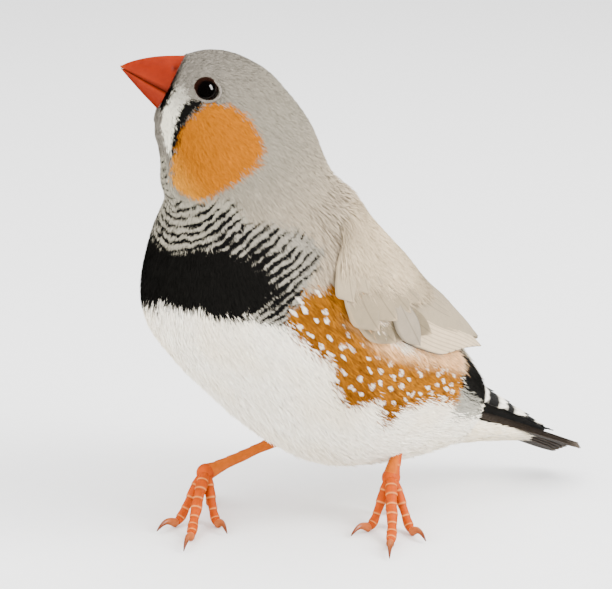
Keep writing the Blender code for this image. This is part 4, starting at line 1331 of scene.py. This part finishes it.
def make_tail(flight, plumage):
    sheaf = VaneSheaf("tail_feathers", 4, 31)
    for pair in range(6):
        for side in (1, -1):
            out = 0.5 + 0.52 * pair
            level = -0.35 + (0.16 if side > 0 else 0.0) - 0.26 * pair
            tone = covert_tone("#1d1a17" if pair < 2 else "#3b332b", "#57493a", 0.7, 0.95)
            tip = (TAIL_LENGTH * (1 - 0.011 * pair), side * out * 1.1)
            sheaf.add((-1.5, side * out * 0.4), tip, 2.7,
                      lambda spots, lift: tail_point(spots[..., 0], spots[..., 1], lift),
                      (level, level - 0.12), tone, tilt=-0.10 * side, thick=0.14, camber=0.1,
                      round_=0.25, base=0.25)
    sheaf.build(flight, "tail")

    steps, sides = 32, 32
    for name, sizes, tint, slot in (("rump_core_upper", OVER, BLACK * 1.3, "tail_plumage"),
                                    ("rump_core_under", UNDER, VENT, "white_plumage")):
        x = np.linspace(-1.0, sizes[0] * 0.98, steps - 2)[:, None]
        around = np.linspace(-180, 180, sides + 1)[:-1][None, :]
        points, quads = loft(wedge(x, around, -0.35, sizes))
        piece = build_mesh(name, points, quads)
        set_colour(piece, "tint", np.broadcast_to(tint, points.shape))
        u = np.repeat(np.linspace(0, 1, steps), sides)
        v = np.tile(np.linspace(0, 1, sides), steps)
        set_uv(piece, "OFBake", np.stack([v, u], -1) * 0.98 + 0.01)
        set_uv(piece, "vane", np.stack([u * sizes[0], v * 8], -1))
        weld_and_face_out(piece)
        finish_piece(piece, flight)

    def on_wedge(sizes, mm_per_degree):
        return lambda spots, lift: wedge(
            spots[..., 0], np.degrees(spots[..., 1] / mm_per_degree), lift, sizes
        )

    sheaf = VaneSheaf("tail_coverts_barred", 6, 32)
    above = on_wedge(OVER, 3.0)
    for level, (start, end, count, spread, wide) in reversed(list(enumerate(BARRED_TIERS))):
        for across, root, tip in spread_out(start, end, count, spread, 1.0, 0.96):
            sheaf.add(root, tip, wide, above, (-0.25, 0.22 - level * 0.05), band_tone(start),
                      tilt=0.05 if across > 0 else -0.05, thick=0.12, camber=0.1)
    sheaf.build(flight, "tail_coverts_upper")

    sheaf = VaneSheaf("undertail_coverts", 4, 33)
    below = on_wedge(UNDER, 3.3)
    for start, end, count, spread, wide in UNDER_TIERS:
        for _, root, tip in spread_out(start, end, count, spread, 1.2, 0.9):
            sheaf.add(root, tip, wide, below, (-0.3, 0.1), covert_tone("#e0d8c8", "#f0eadc"),
                      thick=0.12, camber=0.1)
    sheaf.build(flight, "tail_coverts_under")

    def surface(x, angle, lift):
        return wedge(x, angle, lift, UNDER)

    def fluff(x, angle):
        return 6.0 * (np.abs(angle) < 100) + 0 * x

    def paint(root_x, root_angle, x, angle):
        pale = smooth(-0.5, 0.8, ripple(root_x, root_angle * 0.06, 4))
        return no_bars(tinted(BELLY_WARM, VENT, pale))

    roots = even_roots(surface, (-1.5, UNDER[0] * 0.8), (-110, 110), fluff, 90)
    look = {"length": 3.0, "half_width": 0.9, "thick": 0.16, "deep": -0.35, "high": 0.2,
            "fan": 0.25, "loose": 0.10}
    piece = barb_coat("undertail_down", surface, roots, look, paint, 91, 10, (0.1, 1.0),
                      ((-1.5, UNDER[0]), (-120, 120)))
    finish_piece(piece, plumage)


# Legs

LEGS = {  # root of the toes, ankle, and the way that each toe points, in degrees
    "left": ((-12.1, 10.3, 5.4), (-17.6, 9.4, 18.0),
             {"middle": 47, "inner": 8, "outer": 78, "hind": 228}),
    "right": ((7.5, -9.8, 5.2), (-7.6, -8.2, 8.4),
              {"middle": 41, "inner": 72, "outer": 8, "hind": 224}),
}
TOES = {  # length of toe, length of claw, half thickness
    "middle": (13.2, 5.0, 0.88), "inner": (8.6, 3.8, 0.78), "outer": (9.4, 3.8, 0.78),
    "hind": (7.8, 4.4, 0.82),
}
SCUTE, STEPS_IN_SCUTE, PAD_HEIGHT = 1.5, 9, 0.05
CLAW_STEPS, CLAW_SIDES = 16, 12
LEG_UP, TOE_UP = (-1.0, 0.0, 0.2), (0.0, 0.0, 1.0)


def toe_point(root, yaw, length, share, thick):
    heading = np.array([math.cos(yaw), math.sin(yaw), 0.0])
    end = FLOOR + thick * 0.82
    reach = math.sqrt(length**2 - (root[2] - end) ** 2) * 0.97
    fall = 0.5 + 0.5 * math.cos(math.pi * max(share, 0.0) ** 0.9)
    height = end + (root[2] - end) * fall
    return np.array([root[0], root[1], height]) + heading * (reach * share)


def on_floor(rings):
    rings[..., 2] = np.maximum(rings[..., 2], FLOOR + 0.01)
    return rings


def scaled_tube(path_at, radius_at, count, sides, up):
    """A tube of overlapping scutes: each plate widens to its far edge and drops to the next.

    Orange plates have pale far edges above, painted shade in the fold where each drops to the
    next, and pinker soft pads lie below.
    """
    path, radii, tones = [], [], []
    upper = smooth(-0.35, 0.15, np.sin(turns(sides)))
    for k in range(count * STEPS_IN_SCUTE + 1):
        phase = (k % STEPS_IN_SCUTE) / STEPS_IN_SCUTE
        u = k / (count * STEPS_IN_SCUTE)
        path.append(path_at(u))
        plate = (0.11 * phase**1.5 - 0.02) * upper * (phase < 0.97)
        pad = PAD_HEIGHT * np.cos(2 * np.pi * u * count / 2.4) * (1 - upper)
        radii.append(radius_at(u) + plate + pad)
        tone = tinted(PAD, PLATE, upper)
        tone = tinted(tone, PLATE_EDGE, 0.8 * hump(phase, 0.93, 0.09) * upper)
        # Painted shade in the fold where each plate drops to the next.
        tones.append(tinted(tone, FOLD_SHADE, 0.5 * hump(phase, 0.03, 0.07) * upper))
    return on_floor(tube_rings(path, radii, sides, up)), np.array(tones)


def merge_lofts(name, parts, finish, replaced):
    points, quads, tones, count = [], [], [], 0
    for rings, tone in parts:
        p, q = loft(rings)
        points.append(p)
        quads.append(q + count)
        tones.append(np.concatenate([tone[:1], tone, tone[-1:]]).reshape(-1, 3))
        count += len(p)
    piece = build_mesh(name, np.concatenate(points), np.concatenate(quads))
    set_colour(piece, "tint", np.concatenate(tones))
    weld_and_face_out(piece)
    finish_piece(piece, finish, replaced)


def make_claw(base, yaw, length):
    heading = np.array([math.cos(yaw), math.sin(yaw), 0.0])
    path, radii, shades = [], [], []
    for k in range(CLAW_STEPS + 1):
        u = k / CLAW_STEPS
        height = base[2] * (1 - u) + (FLOOR + 0.2) * u + 0.95 * math.sin(math.pi * u * 0.92)
        path.append(np.array([base[0], base[1], height]) + heading * (length * 1.05 * u))
        radii.append(0.56 * (1 - u) ** 0.75 + 0.05)
        shade = mix(CLAW, CLAW_TIP, smooth(0.1, 0.95, u))
        shades.append(np.broadcast_to(shade, (CLAW_SIDES, 3)))
    return on_floor(tube_rings(path, radii, CLAW_SIDES, TOE_UP, 1.15)), np.array(shades)


def make_ankle_ball(root, ankle):
    """The knob where the toes meet the shank."""
    sides, angles = 20, np.linspace(0.02, math.pi - 0.02, 16)
    down = unit(root - ankle)
    path = [root - down * 1.45 * math.cos(x) for x in angles]
    rings = tube_rings(path, [1.4 * math.sin(x) for x in angles], sides, LEG_UP)
    return rings, np.broadcast_to(PLATE, (len(angles), sides, 3))


def make_legs(leg_skin, claw):
    for side, sign in SIDES:
        root, ankle, yaws = LEGS[side]
        root, ankle = np.array(root), np.array(ankle)
        start = ankle + (ankle - root) * 0.12

        def shank(u):
            sway = 0.25 * math.sin(math.pi * u)
            return start + (root - start) * u + np.array([sway, 0.0, 0.0])

        def shank_radius(u):
            return 1.15 - 0.38 * math.sin(math.pi * u) ** 0.8 + 0.15 * float(smooth(0.85, 1, u))

        shank_tube = scaled_tube(shank, shank_radius, 8, 20, LEG_UP)
        merge_lofts("shank_" + side, [shank_tube], leg_skin, ("tarsus_" + side,))

        parts, claws = [], []
        for toe, (length, claw_length, thick) in TOES.items():
            yaw = math.radians(yaws[toe])

            def bent(u):
                return yaw + 0.05 * sign * math.sin(3 * u)

            def toe_path(u):
                return toe_point(root, bent(u), length, u - 0.02, thick)

            def toe_radius(u):
                knuckle = 0.06 * math.cos(2 * math.pi * u * length / 3.6)
                end = math.sqrt(max(1 - ((u - 0.9) / 0.13) ** 2, 0.0)) if u > 0.9 else 1.0
                return thick * (1.02 - 0.26 * u + knuckle) * max(end, 0.3)

            count = round(length / SCUTE)
            parts.append(scaled_tube(toe_path, toe_radius, count, 18, TOE_UP))
            base = toe_point(root, bent(0.97), length, 0.96, thick)
            claws.append(make_claw(base, yaw, claw_length))
        parts.append(make_ankle_ball(root, ankle))
        merge_lofts("foot_scutes_" + side, parts, leg_skin, ("foot_" + side,))
        replaced = tuple(f"claw_{side}_{toe}" for toe in TOES)
        merge_lofts("claws_" + side, claws, claw, replaced)


# Stage, light and camera

TARGET = np.array([-2.4, 2.0, 33.8])
AZIMUTH, ELEVATION, DISTANCE, LENS = 50.0, 15.0, 350.0, 140.0
LAMPS = [
    # name, how far right, up and toward the camera, size in metres, watts, height of a tall one
    ("key", (0.95, 0.55, 0.62), 0.24, 8.0, 0.5),
    ("fill", (-0.9, 0.2, 0.8), 0.8, 7.5, None),
    ("top", (0.1, 1.0, 0.1), 0.8, 4.5, None),
]
LAMP_DISTANCE, FLOOR_SIZE, WORLD_STRENGTH = 0.6, 12, 1.7


def make_stage():
    """A wide floor of pale matt paper under a white sky."""
    bpy.ops.mesh.primitive_plane_add(size=FLOOR_SIZE, location=(0, 0, 0))
    floor = bpy.context.active_object
    floor.name = "paper_sweep"
    paper, node = new_finish("matt_white_paper")
    grain = node("TexNoise", "Fac", {"Vector": node("TexCoord", "Object"), "Scale": 400.0})
    tone = node("MapRange", "Result", {"Value": grain, "To Min": 0.90, "To Max": 0.93})
    floor.data.materials.append(set_shader(paper, {"Base Color": tone, "Roughness": 0.9}))
    bpy.ops.object.select_all(action="DESELECT")
    world = bpy.data.worlds.new("studio")
    bpy.context.scene.world = world
    world.use_nodes = True
    back = world.node_tree.nodes["Background"]
    back.inputs["Color"].default_value = rgba("#ffffff")
    back.inputs["Strength"].default_value = WORLD_STRENGTH
    # As in a studio with dark walls, only the lamps mirror in the eye and the bill.
    world.cycles_visibility.glossy = False
    floor.visible_glossy = False


def put_in_scene(name, data, matrix):
    made = bpy.data.objects.new(name, data)
    bpy.context.scene.collection.objects.link(made)
    made.matrix_world = matrix
    return made


def make_camera_and_lamps():
    a, e = math.radians(AZIMUTH), math.radians(ELEVATION)
    toward = Vector((math.sin(a) * math.cos(e), -math.cos(a) * math.cos(e), math.sin(e)))
    right = Vector((math.cos(a), math.sin(a), 0.0))
    up = toward.cross(right)
    target = Vector(to_world(TARGET))

    data = bpy.data.cameras.new("camera")
    data.lens, data.sensor_width = LENS, 36.0
    data.clip_start, data.clip_end = 0.01, 10.0
    turn = Matrix((right, up, toward)).transposed().to_4x4()
    place = Matrix.Translation(target + toward * DISTANCE * MM)
    bpy.context.scene.camera = put_in_scene("camera", data, place @ turn)

    for name, (right_share, up_share, toward_share), size, power, tall in LAMPS:
        data = bpy.data.lights.new(name, "AREA")
        data.shape = "RECTANGLE" if tall else "DISK"
        data.size = size
        if tall:
            data.size_y = tall
        data.energy = power
        way = (right * right_share + up * up_share + toward * toward_share).normalized()
        turn = way.to_track_quat("Z", "Y").to_matrix().to_4x4()
        place = Matrix.Translation(target + way * LAMP_DISTANCE)
        lamp = put_in_scene(name, data, place @ turn)
        # Only the tall soft box is seen in the eye, as one bright strip.
        lamp.visible_glossy = bool(tall)


def main():
    body = plumage_finish("closed_contour_plumage", 0.8, 0.06)
    under = plumage_finish("plumage_over_skin", 0.9, 0.10)
    soft = plumage_finish("loose_white_down", 0.85, 0.04, sheen=0.05)
    flight = vane_finish()
    make_skin(under)
    make_coats(body)
    make_spots(soft)
    make_eyes(eye_finish(), skin_finish())
    make_bill(bill_finish())
    make_wings(flight, body)
    make_tail(flight, soft)
    make_legs(leg_finish(), claw_finish())
    make_stage()
    make_camera_and_lamps()


main()
